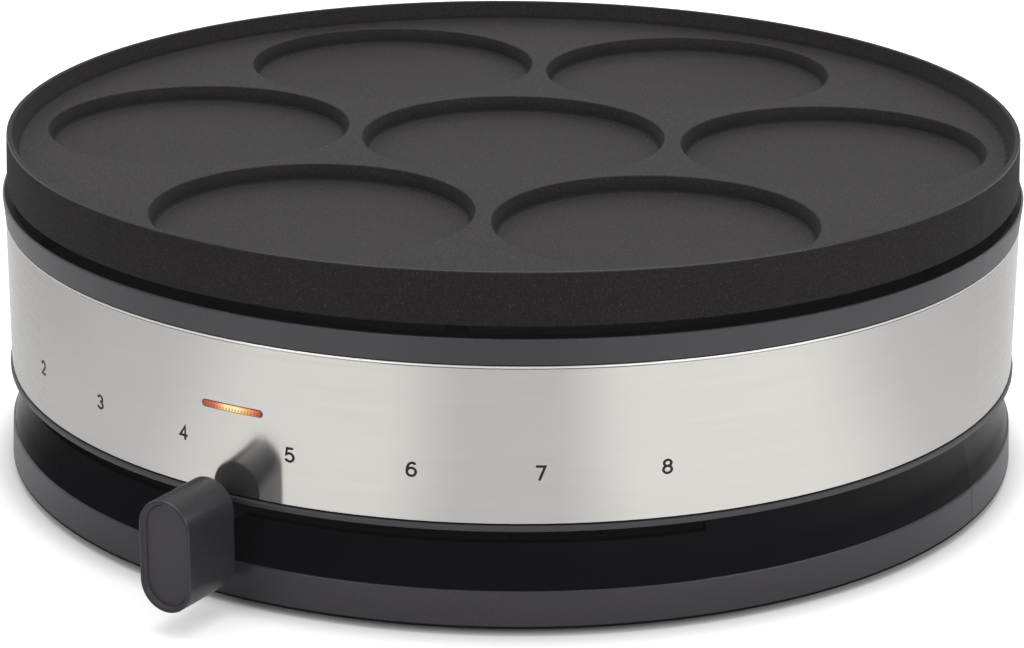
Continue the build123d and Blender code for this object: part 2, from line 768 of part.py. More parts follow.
with BuildPart() as cover_screws:
    with Locations(*[(x, y, cover_bottom) for x, y in around(cover_screw_circle, cover_screw_bearings)]):
        Cone(screw_head_radius - slip_clearance, screw_radius, screw_head_radius - screw_radius,
             align=(Align.CENTER, Align.CENTER, Align.MIN))
    with BuildSketch(Plane.XY.offset(cover_bottom)):
        with Locations(*around(cover_screw_circle, cover_screw_bearings)):
            Circle(screw_radius)
    extrude(amount=ring_flange_bottom - cover_bottom)
    recess(around(cover_screw_circle, cover_screw_bearings), cover_bottom, recess_span, recess_span, recess_depth)
finish(cover_screws, "cover_screws")

foot_ring_outer = cover_radius - foot_ring_inset
with BuildPart() as foot_ring:
    with BuildSketch(Plane.XY):
        Circle(foot_ring_outer)
        Circle(foot_ring_outer - foot_ring_width, mode=Mode.SUBTRACT)
    extrude(amount=cover_bottom)
    fillet(circles_at(foot_ring, 0), small_edge_fillet)
finish(foot_ring, "foot_ring")

# ---------------------------------------------------------------- thermostat
with BuildPart() as thermostat_body:
    with BuildSketch(Plane.XY.offset(thermostat_bottom)):
        Circle(thermostat_radius)
        Circle(shaft_radius + running_clearance, mode=Mode.SUBTRACT)
    extrude(amount=shaft_hole_top - thermostat_bottom)
    with BuildSketch(Plane.XY.offset(shaft_hole_top)):
        Circle(thermostat_radius)
    extrude(amount=thermostat_roof)
    fillet(of_radius(circles_at(thermostat_body, thermostat_bottom), thermostat_radius), thermostat_edge_fillet)
finish(thermostat_body, "thermostat_body")

stem_top = pocket_underside - soft_clearance
with BuildPart() as sensor_stem:
    with BuildSketch(Plane.XY.offset(thermostat_top)):
        Circle(stem_radius)
    extrude(amount=stem_top - thermostat_top)
    fillet(circles_at(sensor_stem, stem_top), small_edge_fillet)
finish(sensor_stem, "sensor_stem")

bracket_rise = pan_floor_bottom - thermostat_top
with BuildPart() as thermostat_bracket:
    # hat section: feet under the pan, legs down, and a bridge on the thermostat's top
    with BuildSketch(Plane.XZ.offset(bracket_width / 2)):
        with Locations((0, thermostat_top + bracket_thickness / 2)):
            Rectangle(2 * bracket_half_span, bracket_thickness)
        for side in (-1, 1):
            with Locations((side * (bracket_half_span - bracket_thickness / 2), thermostat_top + bracket_rise / 2)):
                Rectangle(bracket_thickness, bracket_rise)
            with Locations((side * bracket_foot_centre, pan_floor_bottom - bracket_thickness / 2)):
                Rectangle(bracket_foot, bracket_thickness)
    extrude(amount=-bracket_width)
    with BuildSketch(Plane.XY.offset(pan_floor_bottom)):
        Circle(stem_radius + soft_clearance)
        with Locations(*bracket_screw_places):
            Circle(small_screw_radius + slip_clearance)
    extrude(amount=-bracket_rise, mode=Mode.SUBTRACT)
finish(thermostat_bracket, "thermostat_bracket")

with BuildPart() as bracket_screws:
    with BuildSketch(Plane.XY.offset(pan_floor_top)):
        with Locations(*bracket_screw_places):
            Circle(small_screw_head_radius)
    extrude(amount=small_screw_head_height)
    with BuildSketch(Plane.XY.offset(pan_floor_top)):
        with Locations(*bracket_screw_places):
            Circle(small_screw_radius)
    extrude(amount=-bracket_screw_length)
    recess(bracket_screw_places, pan_floor_top + small_screw_head_height,
           small_recess_span, small_recess_span, -small_recess_depth)
finish(bracket_screws, "bracket_screws")

# ---------------------------------------------------------------- lever
shaft_top = shaft_hole_top - soft_clearance
with BuildPart() as thermostat_shaft:
    with BuildSketch(Plane.XY.offset(lever_bottom)):
        Circle(shaft_radius)
    extrude(amount=shaft_top - lever_bottom)
    with BuildSketch(Plane.XY.offset(lever_bottom)):
        Circle(small_screw_radius)
    extrude(amount=small_screw_grip, mode=Mode.SUBTRACT)
finish(thermostat_shaft, "thermostat_shaft")

lever_tip = knob_back + lever_bite
with BuildPart() as lever_arm:
    with BuildSketch(turned(lever_rest_bearing).offset(lever_bottom)):
        Circle(lever_hub_radius)
        with Locations((0, -lever_tip / 2)):
            Rectangle(lever_width, lever_tip)
        Circle(shaft_radius, mode=Mode.SUBTRACT)
    extrude(amount=lever_thickness)
finish(lever_arm, "lever_arm")

with BuildPart() as lever_screw:
    with BuildSketch(Plane.XY.offset(lever_bottom)):
        Circle(lever_screw_head_radius)
    extrude(amount=-small_screw_head_height)
    with BuildSketch(Plane.XY.offset(lever_bottom)):
        Circle(small_screw_radius)
    extrude(amount=small_screw_grip)
    recess([(0, 0)], lever_bottom - small_screw_head_height, recess_span, recess_span, small_recess_depth)
finish(lever_screw, "lever_screw")

# the knob is drawn on an upright plane that faces the lever's bearing
knob_angle = radians(lever_rest_bearing - 90)
knob_out = Vector(cos(knob_angle), sin(knob_angle), 0)
knob_across = Vector(-sin(knob_angle), cos(knob_angle), 0)


def knob_plane(distance):
    return Plane(origin=knob_out * distance, x_dir=knob_across, z_dir=knob_out)


knob_axis = Axis(origin=(0, 0, 0), direction=knob_out)
rim_border = knob_face_border - knob_bevel_width
with BuildPart() as lever_knob:
    with BuildSketch(knob_plane(knob_back)):
        with Locations((0, knob_level)):
            SlotOverall(knob_height, knob_width, rotation=90)
    extrude(amount=knob_depth)
    fillet(lever_knob.edges().group_by(knob_axis)[-1], knob_edge_fillet)
    with BuildSketch(knob_plane(knob_front)):
        with Locations((0, knob_level)):
            SlotOverall(knob_height - 2 * knob_face_border, knob_width - 2 * knob_face_border, rotation=90)
    extrude(amount=-knob_face_recess, mode=Mode.SUBTRACT)
    # a bevel leads from the rim down to the face
    with BuildSketch(knob_plane(knob_front)) as bevel:
        with Locations((0, knob_level)):
            SlotOverall(knob_height - 2 * rim_border, knob_width - 2 * rim_border, rotation=90)
    extrude(bevel.sketch, amount=-knob_bevel_depth, taper=degrees(atan2(knob_bevel_width, knob_bevel_depth)), mode=Mode.SUBTRACT)
    rim_face = lever_knob.faces().sort_by(knob_axis)[-1]
    fillet(rim_face.inner_wires()[0].edges(), knob_bevel_fillet)
    # blind socket for the arm
    with BuildSketch(knob_plane(knob_back)):
        with Locations((0, (lever_top + lever_bottom) / 2)):
            Rectangle(lever_width + 2 * slip_clearance, lever_thickness + 2 * slip_clearance)
    extrude(amount=lever_bite + slip_clearance, mode=Mode.SUBTRACT)
finish(lever_knob, "lever_knob")

with BuildPart() as knob_face:
    face_border = knob_face_border + knob_face_clearance
    with BuildSketch(knob_plane(knob_front - knob_face_recess)):
        with Locations((0, knob_level)):
            SlotOverall(knob_height - 2 * face_border, knob_width - 2 * face_border, rotation=90)
    extrude(amount=knob_face_thickness)
    fillet(knob_face.edges().group_by(knob_axis)[-1], knob_face_fillet)
finish(knob_face, "knob_face")

# ---------------------------------------------------------------- supply side
with BuildPart() as cord_gland:
    with BuildSketch(Plane.XZ.offset(-gland_pad_face)):
        with Locations((0, gland_level)):
            Circle(gland_flange_radius)
    extrude(amount=-gland_flange_thickness)
    with BuildSketch(Plane.XZ.offset(-gland_pad_face)):
        with Locations((0, gland_level)):
            Circle(gland_radius)
    extrude(amount=gland_inner_length)
    fillet(cord_gland.edges().filter_by(GeomType.CIRCLE).sort_by(Axis.Y)[-1], small_edge_fillet * 2)
    with BuildSketch(Plane.XZ.offset(-gland_pad_face - gland_flange_thickness)):
        with Locations((0, gland_level)):
            Circle(gland_bore_radius)
    extrude(amount=gland_inner_length + gland_flange_thickness, mode=Mode.SUBTRACT)
finish(cord_gland, "cord_gland")

with BuildPart() as gland_nut:
    with BuildSketch(Plane.XZ.offset(-gland_pad_back)):
        with Locations((0, gland_level)):
            RegularPolygon(gland_nut_radius, 6)
            Circle(gland_radius + slip_clearance, mode=Mode.SUBTRACT)
    extrude(amount=gland_nut_thickness)
finish(gland_nut, "gland_nut")

block_length, block_width, block_height = terminal_block_size
terminal_places = [(step * terminal_screw_pitch, terminal_block_distance) for step in (-1, 0, 1)]
block_top = cover_top + block_height
with BuildPart() as terminal_block:
    with BuildSketch(Plane.XY.offset(cover_top)):
        with Locations((0, terminal_block_distance)):
            Rectangle(block_length, block_width)
    extrude(amount=block_height)
    fillet(terminal_block.edges().filter_by(Axis.Z), terminal_block_fillet)
    with BuildSketch(Plane.XY.offset(block_top)):
        with Locations(*terminal_places):
            Circle(small_screw_head_radius + slip_clearance)
    extrude(amount=-block_height / 2, mode=Mode.SUBTRACT)
finish(terminal_block, "terminal_block")

with BuildPart() as terminal_screws:
    with BuildSketch(Plane.XY.offset(cover_top + block_height / 2)):
        with Locations(*terminal_places):
            Circle(small_screw_head_radius)
    extrude(amount=small_screw_head_height)
    recess(terminal_places, cover_top + block_height / 2 + small_screw_head_height,
           2 * small_screw_head_radius, recess_width, -small_recess_depth)
finish(terminal_screws, "terminal_screws")

with BuildPart() as thermal_fuse:
    fuse_level = pan_floor_bottom - bracket_thickness - fuse_radius
    with BuildSketch(Plane.XZ.offset(fuse_length / 2)):
        with Locations((fuse_distance, fuse_level)):
            Circle(fuse_radius)
    extrude(amount=-fuse_length)
finish(thermal_fuse, "thermal_fuse")

with BuildPart() as fuse_clip:
    clip_height = bracket_thickness + 2 * fuse_radius
    with BuildSketch(Plane.XZ.offset(fuse_clip_width / 2)):
        with Locations((fuse_distance, pan_floor_bottom - clip_height / 2)):
            Rectangle(2 * (fuse_radius + bracket_thickness), clip_height)
        with Locations((fuse_distance, fuse_level)):
            Circle(fuse_radius + slip_clearance, mode=Mode.SUBTRACT)
        with Locations((fuse_distance, fuse_level - fuse_radius)):
            Rectangle(2 * (fuse_radius + slip_clearance), 2 * fuse_radius, mode=Mode.SUBTRACT)
    extrude(amount=-fuse_clip_width)
finish(fuse_clip, "fuse_clip")

lug_length, lug_width, lug_thickness = earth_lug_size
with BuildPart() as earth_lug:
    with BuildSketch(Plane.XY.offset(pan_floor_bottom)):
        with Locations((-earth_lug_distance, 0)):
            RectangleRounded(lug_width, lug_length, earth_lug_fillet)
            Circle(small_screw_radius + slip_clearance, mode=Mode.SUBTRACT)
    extrude(amount=-lug_thickness)
    with BuildSketch(Plane.YZ.offset(-earth_lug_distance + lug_width / 2 - lug_thickness)):
        with Locations((0, pan_floor_bottom - lug_width / 2)):
            Rectangle(earth_tab_width, lug_width)
    extrude(amount=lug_thickness)
finish(earth_lug, "earth_lug")


def lead(*points):
    """One insulated lead along straight runs joined by tangent arcs."""
    with BuildLine() as route:
        FilletPolyline(*points, radius=lead_bend)
    with BuildSketch(route.line ^ 0) as section:
        Circle(lead_radius)
    sweep(section.sketch, path=route.line)


lead_level = (thermostat_bottom + cold_end_bottom) / 2
side_reach = thermostat_radius + slip_clearance
with BuildPart() as internal_leads:
    # live lead: terminal block to the thermostat's rear
    lead((0, terminal_block_distance, block_top),
         (0, terminal_block_distance, lead_level),
         (0, side_reach, lead_level))
    # neutral lead: terminal block to the outer tube's left end
    outer_drop = leg_drop_distance(outer_ring_radius)
    terminal_end = cold_end_bottom - terminal_length
    lead((-terminal_screw_pitch, terminal_block_distance, block_top),
         (-terminal_screw_pitch, terminal_block_distance, lead_level),
         (-tube_leg_offset - terminal_screw_pitch, outer_drop, lead_level),
         (-tube_leg_offset, outer_drop, lead_level),
         (-tube_leg_offset, outer_drop, terminal_end))
finish(internal_leads, "internal_leads")
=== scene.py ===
from math import cos, pi, radians, sin

import bmesh
import bpy
from mathutils import Matrix, Vector


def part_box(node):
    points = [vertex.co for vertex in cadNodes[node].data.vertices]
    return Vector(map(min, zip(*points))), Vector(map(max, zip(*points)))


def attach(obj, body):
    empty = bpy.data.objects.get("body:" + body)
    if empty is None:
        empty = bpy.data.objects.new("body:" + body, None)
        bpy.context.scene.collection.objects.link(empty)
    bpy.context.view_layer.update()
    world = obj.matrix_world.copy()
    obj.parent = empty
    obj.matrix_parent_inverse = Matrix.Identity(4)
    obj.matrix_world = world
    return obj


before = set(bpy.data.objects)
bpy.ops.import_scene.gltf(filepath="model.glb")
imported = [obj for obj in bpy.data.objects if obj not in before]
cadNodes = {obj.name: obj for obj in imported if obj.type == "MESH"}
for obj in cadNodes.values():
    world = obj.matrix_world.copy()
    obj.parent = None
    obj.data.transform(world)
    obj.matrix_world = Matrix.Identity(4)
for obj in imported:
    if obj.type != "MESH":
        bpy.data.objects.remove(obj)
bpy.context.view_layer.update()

# Electric crepe maker with a lift-off plate: metres, the same frame as the CAD model, +Z up, front along -Y.
# A bearing is counted in degrees from the front, positive towards +X.

print("frame loaded:", len(cadNodes), "nodes")


def fromHex(code):
    # an sRGB colour such as "8a8c90" as linear RGBA
    channels = [int(code[i:i + 2], 16) / 255 for i in (0, 2, 4)]
    return [c / 12.92 if c <= 0.04045 else ((c + 0.055) / 1.055) ** 2.4 for c in channels] + [1.0]


def atBearing(bearing, radius, height):
    angle = radians(bearing)
    return Vector((radius * sin(angle), -radius * cos(angle), height))


def newObject(name, data):
    thing = bpy.data.objects.new(name, data)
    bpy.context.scene.collection.objects.link(thing)
    return thing


def newMesh(name, shape, material):
    # a mesh from a bmesh, which is used up
    mesh = bpy.data.meshes.new(name)
    shape.to_mesh(mesh)
    shape.free()
    mesh.materials.append(material)
    return mesh


# small helpers for node trees

def place(tree, kind, values=None, **settings):
    # one node, with its settings and the values of its unlinked inputs
    node = tree.nodes.new("ShaderNode" + kind)
    for name, setting in settings.items():
        setattr(node, name, setting)
    for name, value in (values or {}).items():
        node.inputs[name].default_value = value
    return node


def link(tree, source, target):
    tree.links.new(source, target)


def calc(tree, operation, first, second=0.0):
    # a Math node fed by sockets or numbers
    node = place(tree, "Math", operation=operation)
    for slotNumber, value in enumerate((first, second)):
        if isinstance(value, (int, float)):
            node.inputs[slotNumber].default_value = value
        else:
            link(tree, value, node.inputs[slotNumber])
    return node.outputs[0]


def spread(tree, value, fromLow, fromHigh, toLow, toHigh):
    # a Map Range node whose limits may be sockets
    node = place(tree, "MapRange")
    for name, given in (("Value", value), ("From Min", fromLow), ("From Max", fromHigh),
                        ("To Min", toLow), ("To Max", toHigh)):
        if isinstance(given, (int, float)):
            node.inputs[name].default_value = given
        else:
            link(tree, given, node.inputs[name])
    return node.outputs["Result"]


def softStep(tree, value, low, high):
    node = place(tree, "MapRange", {"From Min": low, "From Max": high}, interpolation_type="SMOOTHSTEP")
    link(tree, value, node.inputs["Value"])
    return node.outputs["Result"]


def blendColours(tree, factor, first, second, way="MIX"):
    node = place(tree, "Mix", data_type="RGBA", blend_type=way)
    for slotNumber, value in ((0, factor), (6, first), (7, second)):
        if isinstance(value, (int, float, list)):
            node.inputs[slotNumber].default_value = value
        else:
            link(tree, value, node.inputs[slotNumber])
    return node.outputs[2]


def spotOf(tree):
    # X, Y and Z of a place on the part at rest
    xyz = place(tree, "SeparateXYZ")
    link(tree, place(tree, "TexCoord").outputs["Object"], xyz.inputs[0])
    return xyz.outputs


def heightOf(tree):
    return spotOf(tree)["Z"]


def bearingOf(tree, spot):
    # in radians
    return calc(tree, "ARCTAN2", spot["X"], calc(tree, "MULTIPLY", spot["Y"], -1.0))


def reachAlong(tree, direction):
    # how far a place lies along a direction
    node = place(tree, "VectorMath", {1: direction}, operation="DOT_PRODUCT")
    link(tree, place(tree, "TexCoord").outputs["Object"], node.inputs[0])
    return node.outputs["Value"]


def radiusOf(tree):
    # distance from the upright axis
    flat = place(tree, "VectorMath", {1: (1.0, 1.0, 0.0)}, operation="MULTIPLY")
    link(tree, place(tree, "TexCoord").outputs["Object"], flat.inputs[0])
    distance = place(tree, "VectorMath", operation="LENGTH")
    link(tree, flat.outputs[0], distance.inputs[0])
    return distance.outputs["Value"]


def noise(tree, vector, scale, detail=2.0, roughness=0.5, distortion=0.0):
    node = place(tree, "TexNoise", {"Detail": detail, "Roughness": roughness, "Distortion": distortion})
    if isinstance(scale, (int, float)):
        node.inputs["Scale"].default_value = scale
    else:
        link(tree, scale, node.inputs["Scale"])
    link(tree, vector, node.inputs["Vector"])
    return node.outputs[0]


def bump(tree, height, strength, distance):
    node = place(tree, "Bump", {"Strength": strength, "Distance": distance})
    link(tree, height, node.inputs["Height"])
    return node.outputs["Normal"]


def socketName(key):
    # the label of an input: grainSize is "Grain Size"
    spaced = "".join(" " + c if c.isupper() else c for c in key)
    special = {"ior": "IOR", "coatIor": "Coat IOR", "specularLevel": "Specular IOR Level"}
    return special.get(key, spaced.title())


def newGroup(name, inputs, outputs):
    # a shader node group; inputs and outputs are name: (socket type, default)
    tree = bpy.data.node_groups.new(name, "ShaderNodeTree")
    for label, (kind, default) in inputs.items():
        socket = tree.interface.new_socket(name=label, in_out="INPUT", socket_type="NodeSocket" + kind)
        socket.default_value = default
    for label, kind in outputs.items():
        tree.interface.new_socket(name=label, in_out="OUTPUT", socket_type="NodeSocket" + kind)
    return tree, tree.nodes.new("NodeGroupInput").outputs, tree.nodes.new("NodeGroupOutput").inputs


def useGroup(tree, group, **values):
    node = place(tree, "Group", node_tree=group)
    for key, value in values.items():
        node.inputs[socketName(key)].default_value = value
    return node.outputs


# effects that several materials share

noiseRange = (0.3, 0.7)     # most of a noise texture lies between these values

castGrainShape = {
    "cloudScale": 14.0,
    "speckScale": 0.8,          # scales of specks and mottling per grain
    "mottleScale": 0.42,
    "mottleRange": (0.8, 1.2),
    "speckEdge": 0.72,
    "speckBlend": 0.06,
    "roughnessRange": (-0.06, 0.06),
    "speckGloss": 0.12,
    "speckHeight": 0.4,
}


def makeCastGrain():
    # fine pebbled coating on cast metal: a tone that wanders a little, with tiny lighter specks
    grain = castGrainShape
    tree, given, made = newGroup("castGrain", {
        "Tone": ("Color", (0.03, 0.03, 0.03, 1)),
        "Speck Tone": ("Color", (0.1, 0.1, 0.1, 1)),
        "Grain Size": ("Float", 0.0008),
        "Speck Amount": ("Float", 0.1),
        "Cloudiness": ("Float", 0.1),
        "Roughness Base": ("Float", 0.55),
    }, {"Color": "Color", "Roughness": "Float", "Height": "Float"})
    spot = place(tree, "TexCoord").outputs["Object"]
    perGrain = calc(tree, "DIVIDE", 1.0, given["Grain Size"])
    pebbles = noise(tree, spot, perGrain, detail=2.0, roughness=0.55)
    specks = noise(tree, spot, calc(tree, "MULTIPLY", perGrain, grain["speckScale"]), detail=1.0)
    clouds = noise(tree, spot, grain["cloudScale"], detail=4.0, roughness=0.55)
    edge = calc(tree, "SUBTRACT", grain["speckEdge"], calc(tree, "MULTIPLY", given["Speck Amount"], 0.5))
    speckMask = spread(tree, specks, edge, calc(tree, "ADD", edge, grain["speckBlend"]), 0.0, 1.0)
    lift = spread(tree, clouds, *noiseRange, calc(tree, "SUBTRACT", 1.0, given["Cloudiness"]),
                  calc(tree, "ADD", 1.0, given["Cloudiness"]))
    perMottle = calc(tree, "MULTIPLY", perGrain, grain["mottleScale"])
    mottling = noise(tree, spot, perMottle, detail=2.0, roughness=0.6)
    lift = calc(tree, "MULTIPLY", lift, spread(tree, mottling, *noiseRange, *grain["mottleRange"]))
    toned = blendColours(tree, 1.0, given["Tone"], lift, way="MULTIPLY")
    link(tree, blendColours(tree, speckMask, toned, given["Speck Tone"]), made["Color"])
    wander = spread(tree, pebbles, *noiseRange, *grain["roughnessRange"])
    rough = calc(tree, "ADD", wander, given["Roughness Base"])
    gloss = calc(tree, "MULTIPLY", speckMask, grain["speckGloss"])
    link(tree, calc(tree, "SUBTRACT", rough, gloss), made["Roughness"])
    raised = calc(tree, "MULTIPLY", speckMask, grain["speckHeight"])
    link(tree, calc(tree, "ADD", pebbles, raised), made["Height"])
    return tree


mouldedSkinShape = {
    "flowScale": 9.0,
    "flowDistortion": 0.6,
    "grainRoughness": (-0.03, 0.03),
}


def makeMouldedSkin():
    # injection-moulded plastic: spark-eroded texture with slow flow variation in gloss and tone
    tree, given, made = newGroup("mouldedSkin", {
        "Tone": ("Color", (0.08, 0.08, 0.08, 1)),
        "Grain Size": ("Float", 0.0004),
        "Tone Drift": ("Float", 0.05),
        "Roughness Base": ("Float", 0.4),
        "Roughness Drift": ("Float", 0.05),
    }, {"Color": "Color", "Roughness": "Float", "Height": "Float"})
    spot = place(tree, "TexCoord").outputs["Object"]
    grain = noise(tree, spot, calc(tree, "DIVIDE", 1.0, given["Grain Size"]), detail=2.0, roughness=0.6)
    flow = noise(tree, spot, mouldedSkinShape["flowScale"], detail=3.0,
                 distortion=mouldedSkinShape["flowDistortion"])
    lift = spread(tree, flow, *noiseRange, calc(tree, "SUBTRACT", 1.0, given["Tone Drift"]),
                  calc(tree, "ADD", 1.0, given["Tone Drift"]))
    link(tree, blendColours(tree, 1.0, given["Tone"], lift, way="MULTIPLY"), made["Color"])
    drift = spread(tree, flow, *noiseRange, calc(tree, "MULTIPLY", given["Roughness Drift"], -1.0),
                   given["Roughness Drift"])
    fine = spread(tree, grain, *noiseRange, *mouldedSkinShape["grainRoughness"])
    total = calc(tree, "ADD", calc(tree, "ADD", given["Roughness Base"], drift), fine)
    link(tree, total, made["Roughness"])
    link(tree, grain, made["Height"])
    return tree


brushedShape = {
    # pitch factor, length factor and share of three layers of scratches
    "layers": [(1.0, 1.0, 0.5), (3.1, 2.3, 0.32), (9.0, 4.0, 0.18)],
    "weaveRange": (0.4, 0.6),
}


def makeBrushedLines():
    # long fine scratches that run round the upright axis, as sheet brushed before it is rolled up
    tree, given, made = newGroup("brushedLines", {
        "Bright Tone": ("Color", (0.6, 0.6, 0.6, 1)),
        "Dull Tone": ("Color", (0.5, 0.5, 0.5, 1)),
        "Line Pitch": ("Float", 0.00018),
        "Line Length": ("Float", 0.03),
        "Body Radius": ("Float", 0.1864),
        "Roughness Base": ("Float", 0.22),
        "Roughness Spread": ("Float", 0.06),
    }, {"Color": "Color", "Roughness": "Float", "Height": "Float"})
    spot = spotOf(tree)
    along = calc(tree, "MULTIPLY", bearingOf(tree, spot), given["Body Radius"])
    weave = 0.0
    for pitchFactor, lengthFactor, share in brushedShape["layers"]:
        lines = place(tree, "CombineXYZ")
        length = calc(tree, "MULTIPLY", given["Line Length"], lengthFactor)
        pitch = calc(tree, "MULTIPLY", given["Line Pitch"], pitchFactor)
        link(tree, calc(tree, "DIVIDE", along, length), lines.inputs[0])
        link(tree, calc(tree, "DIVIDE", spot["Z"], pitch), lines.inputs[1])
        layer = noise(tree, lines.outputs[0], 1.0, detail=2.0, roughness=0.6)
        weave = calc(tree, "ADD", weave, calc(tree, "MULTIPLY", layer, share))
    shine = spread(tree, weave, *brushedShape["weaveRange"], 0.0, 1.0)
    link(tree, blendColours(tree, shine, given["Dull Tone"], given["Bright Tone"]), made["Color"])
    half = calc(tree, "MULTIPLY", given["Roughness Spread"], 0.5)
    rough = spread(tree, weave, *brushedShape["weaveRange"], calc(tree, "ADD", given["Roughness Base"], half),
                   calc(tree, "SUBTRACT", given["Roughness Base"], half))
    link(tree, rough, made["Roughness"])
    link(tree, weave, made["Height"])
    return tree


sheetShape = {
    "markStretch": 0.03,        # scale of the rolling marks along X over that across them
    "blotchScale": 42.0,
    "blotchDistortion": 0.8,
    "agedFrom": 0.72,
    "agedTo": 0.78,
    "markRoughness": (-0.06, 0.06),
    "agedRoughness": 0.18,
}


def makeSheetMetal():
    # plain rolled or plated sheet: straight rolling marks along X and soft blotches
    tree, given, made = newGroup("sheetMetal", {
        "Clean Tone": ("Color", (0.6, 0.6, 0.6, 1)),
        "Aged Tone": ("Color", (0.4, 0.38, 0.35, 1)),
        "Ageing": ("Float", 0.3),
        "Mark Pitch": ("Float", 0.0006),
        "Roughness Base": ("Float", 0.35),
    }, {"Color": "Color", "Roughness": "Float", "Height": "Float"})
    sheet = sheetShape
    spot = spotOf(tree)
    marks = place(tree, "CombineXYZ")
    perMark = calc(tree, "DIVIDE", 1.0, given["Mark Pitch"])
    alongX = calc(tree, "MULTIPLY", perMark, sheet["markStretch"])
    for axis, scale in (("X", alongX), ("Y", perMark), ("Z", perMark)):
        link(tree, calc(tree, "MULTIPLY", spot[axis], scale), marks.inputs[axis])
    rolled = noise(tree, marks.outputs[0], 1.0, detail=2.0)
    blotches = noise(tree, place(tree, "TexCoord").outputs["Object"], sheet["blotchScale"], detail=5.0,
                     roughness=0.6, distortion=sheet["blotchDistortion"])
    aged = spread(tree, blotches, calc(tree, "SUBTRACT", sheet["agedFrom"], given["Ageing"]), sheet["agedTo"],
                  0.0, 1.0)
    link(tree, blendColours(tree, aged, given["Clean Tone"], given["Aged Tone"]), made["Color"])
    lined = spread(tree, rolled, *noiseRange, *sheet["markRoughness"])
    rough = calc(tree, "ADD", given["Roughness Base"], lined)
    rough = calc(tree, "ADD", rough, calc(tree, "MULTIPLY", aged, sheet["agedRoughness"]))
    link(tree, rough, made["Roughness"])
    link(tree, rolled, made["Height"])
    return tree


castGrain = makeCastGrain()
mouldedSkin = makeMouldedSkin()
brushedLines = makeBrushedLines()
sheetMetal = makeSheetMetal()


def newMaterial(name, **shaderValues):
    material = bpy.data.materials.new(name)
    material.use_nodes = True
    tree = material.node_tree
    shader = tree.nodes["Principled BSDF"]
    for key, value in shaderValues.items():
        shader.inputs[socketName(key)].default_value = value
    return material, tree, shader


def dress(tree, shader, finish, strength, distance):
    # a group's colour, roughness and height go to the shader
    link(tree, finish["Color"], shader.inputs["Base Color"])
    link(tree, finish["Roughness"], shader.inputs["Roughness"])
    link(tree, bump(tree, finish["Height"], strength, distance), shader.inputs["Normal"])


def blendInput(tree, shader, label, mask, plain, masked):
    # a shader value that changes from plain to masked where the mask is 1
    link(tree, spread(tree, mask, 0.0, 1.0, plain, masked), shader.inputs[label])


def blendTone(tree, shader, mask, plain, code):
    link(tree, blendColours(tree, mask, plain, fromHex(code)), shader.inputs["Base Color"])


def plainLevel(shader):
    # the specular level that the shader has so far
    return shader.inputs["Specular IOR Level"].default_value


# painted light: a faint glow on plastic and metal parts, standing in for stray light, that lifts the deepest
# shadows a little
strayGlow = {"emissionColor": fromHex("fcfaff"), "emissionStrength": 0.0065}

coatingLook = {
    "tone": "1f1c1d",
    "speckTone": "353232",
    "grainSize": 0.0004,
    "speckAmount": 0.2,
    "cloudiness": 0.06,
    "roughness": 0.66,
    "level": 0.18,
    "bumpStrength": 0.26,
    "bumpHeight": 0.00004,
    "rimHeight": 0.00715,       # rim's top above the cooking surface
    "pocketDepth": 0.00575,
    "wallReach": 0.1838,        # inner walls lie inside this radius
    "wallBlend": 0.0001,
    # heights over the wall's foot at which its painted shadow strip starts, is full, starts to end and has
    # ended
    "footShadowHeights": (0.00004, 0.0003, 0.001, 0.0048),
    "footShade": 0.36,
    "rimFootShadowHeights": (0.00004, 0.0003, 0.0008, 0.0026),
    "rimFootShadowShare": 0.8,
    # the same as depths under the top, for the rim's smooth outer edge
    "edgeDepths": (0.00003, 0.0001, 0.0004, 0.0007),
    "edgeRoughness": 0.32,
    "edgeLevel": 0.5,
}


def makeCoating():
    look = coatingLook
    material, tree, shader = newMaterial("nonstickCoating")
    finish = useGroup(tree, castGrain, tone=fromHex(look["tone"]), speckTone=fromHex(look["speckTone"]),
                      grainSize=look["grainSize"], speckAmount=look["speckAmount"],
                      cloudiness=look["cloudiness"], roughnessBase=look["roughness"])
    dress(tree, shader, finish, look["bumpStrength"], look["bumpHeight"])
    height = heightOf(tree)
    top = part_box("griddle_plate")[1].z
    surface = top - look["rimHeight"]
    floor = surface - look["pocketDepth"]
    inner = softStep(tree, radiusOf(tree), look["wallReach"] + look["wallBlend"],
                     look["wallReach"] - look["wallBlend"])

    def strip(level, direction, limits):
        # a soft strip along the heights that start at a level
        away = calc(tree, "MULTIPLY", calc(tree, "SUBTRACT", height, level), direction)
        rise = softStep(tree, away, *limits[:2])
        fall = softStep(tree, away, limits[3], limits[2])
        return calc(tree, "MULTIPLY", rise, fall)

    # painted shade: the coating is darkened along the foot of each inner wall, where shade gathers in the
    # crease
    rimFoot = calc(tree, "MULTIPLY", strip(surface, 1.0, look["rimFootShadowHeights"]), look["rimFootShadowShare"])
    foot = calc(tree, "MAXIMUM", strip(floor, 1.0, look["footShadowHeights"]), rimFoot)
    shade = spread(tree, calc(tree, "MULTIPLY", foot, inner), 0.0, 1.0, 1.0, look["footShade"])
    link(tree, blendColours(tree, 1.0, finish["Color"], shade, way="MULTIPLY"), shader.inputs["Base Color"])
    edge = calc(tree, "MULTIPLY", strip(top, -1.0, look["edgeDepths"]), calc(tree, "SUBTRACT", 1.0, inner))
    blendInput(tree, shader, "Roughness", edge, finish["Roughness"], look["edgeRoughness"])
    blendInput(tree, shader, "Specular IOR Level", edge, look["level"], look["edgeLevel"])
    return material


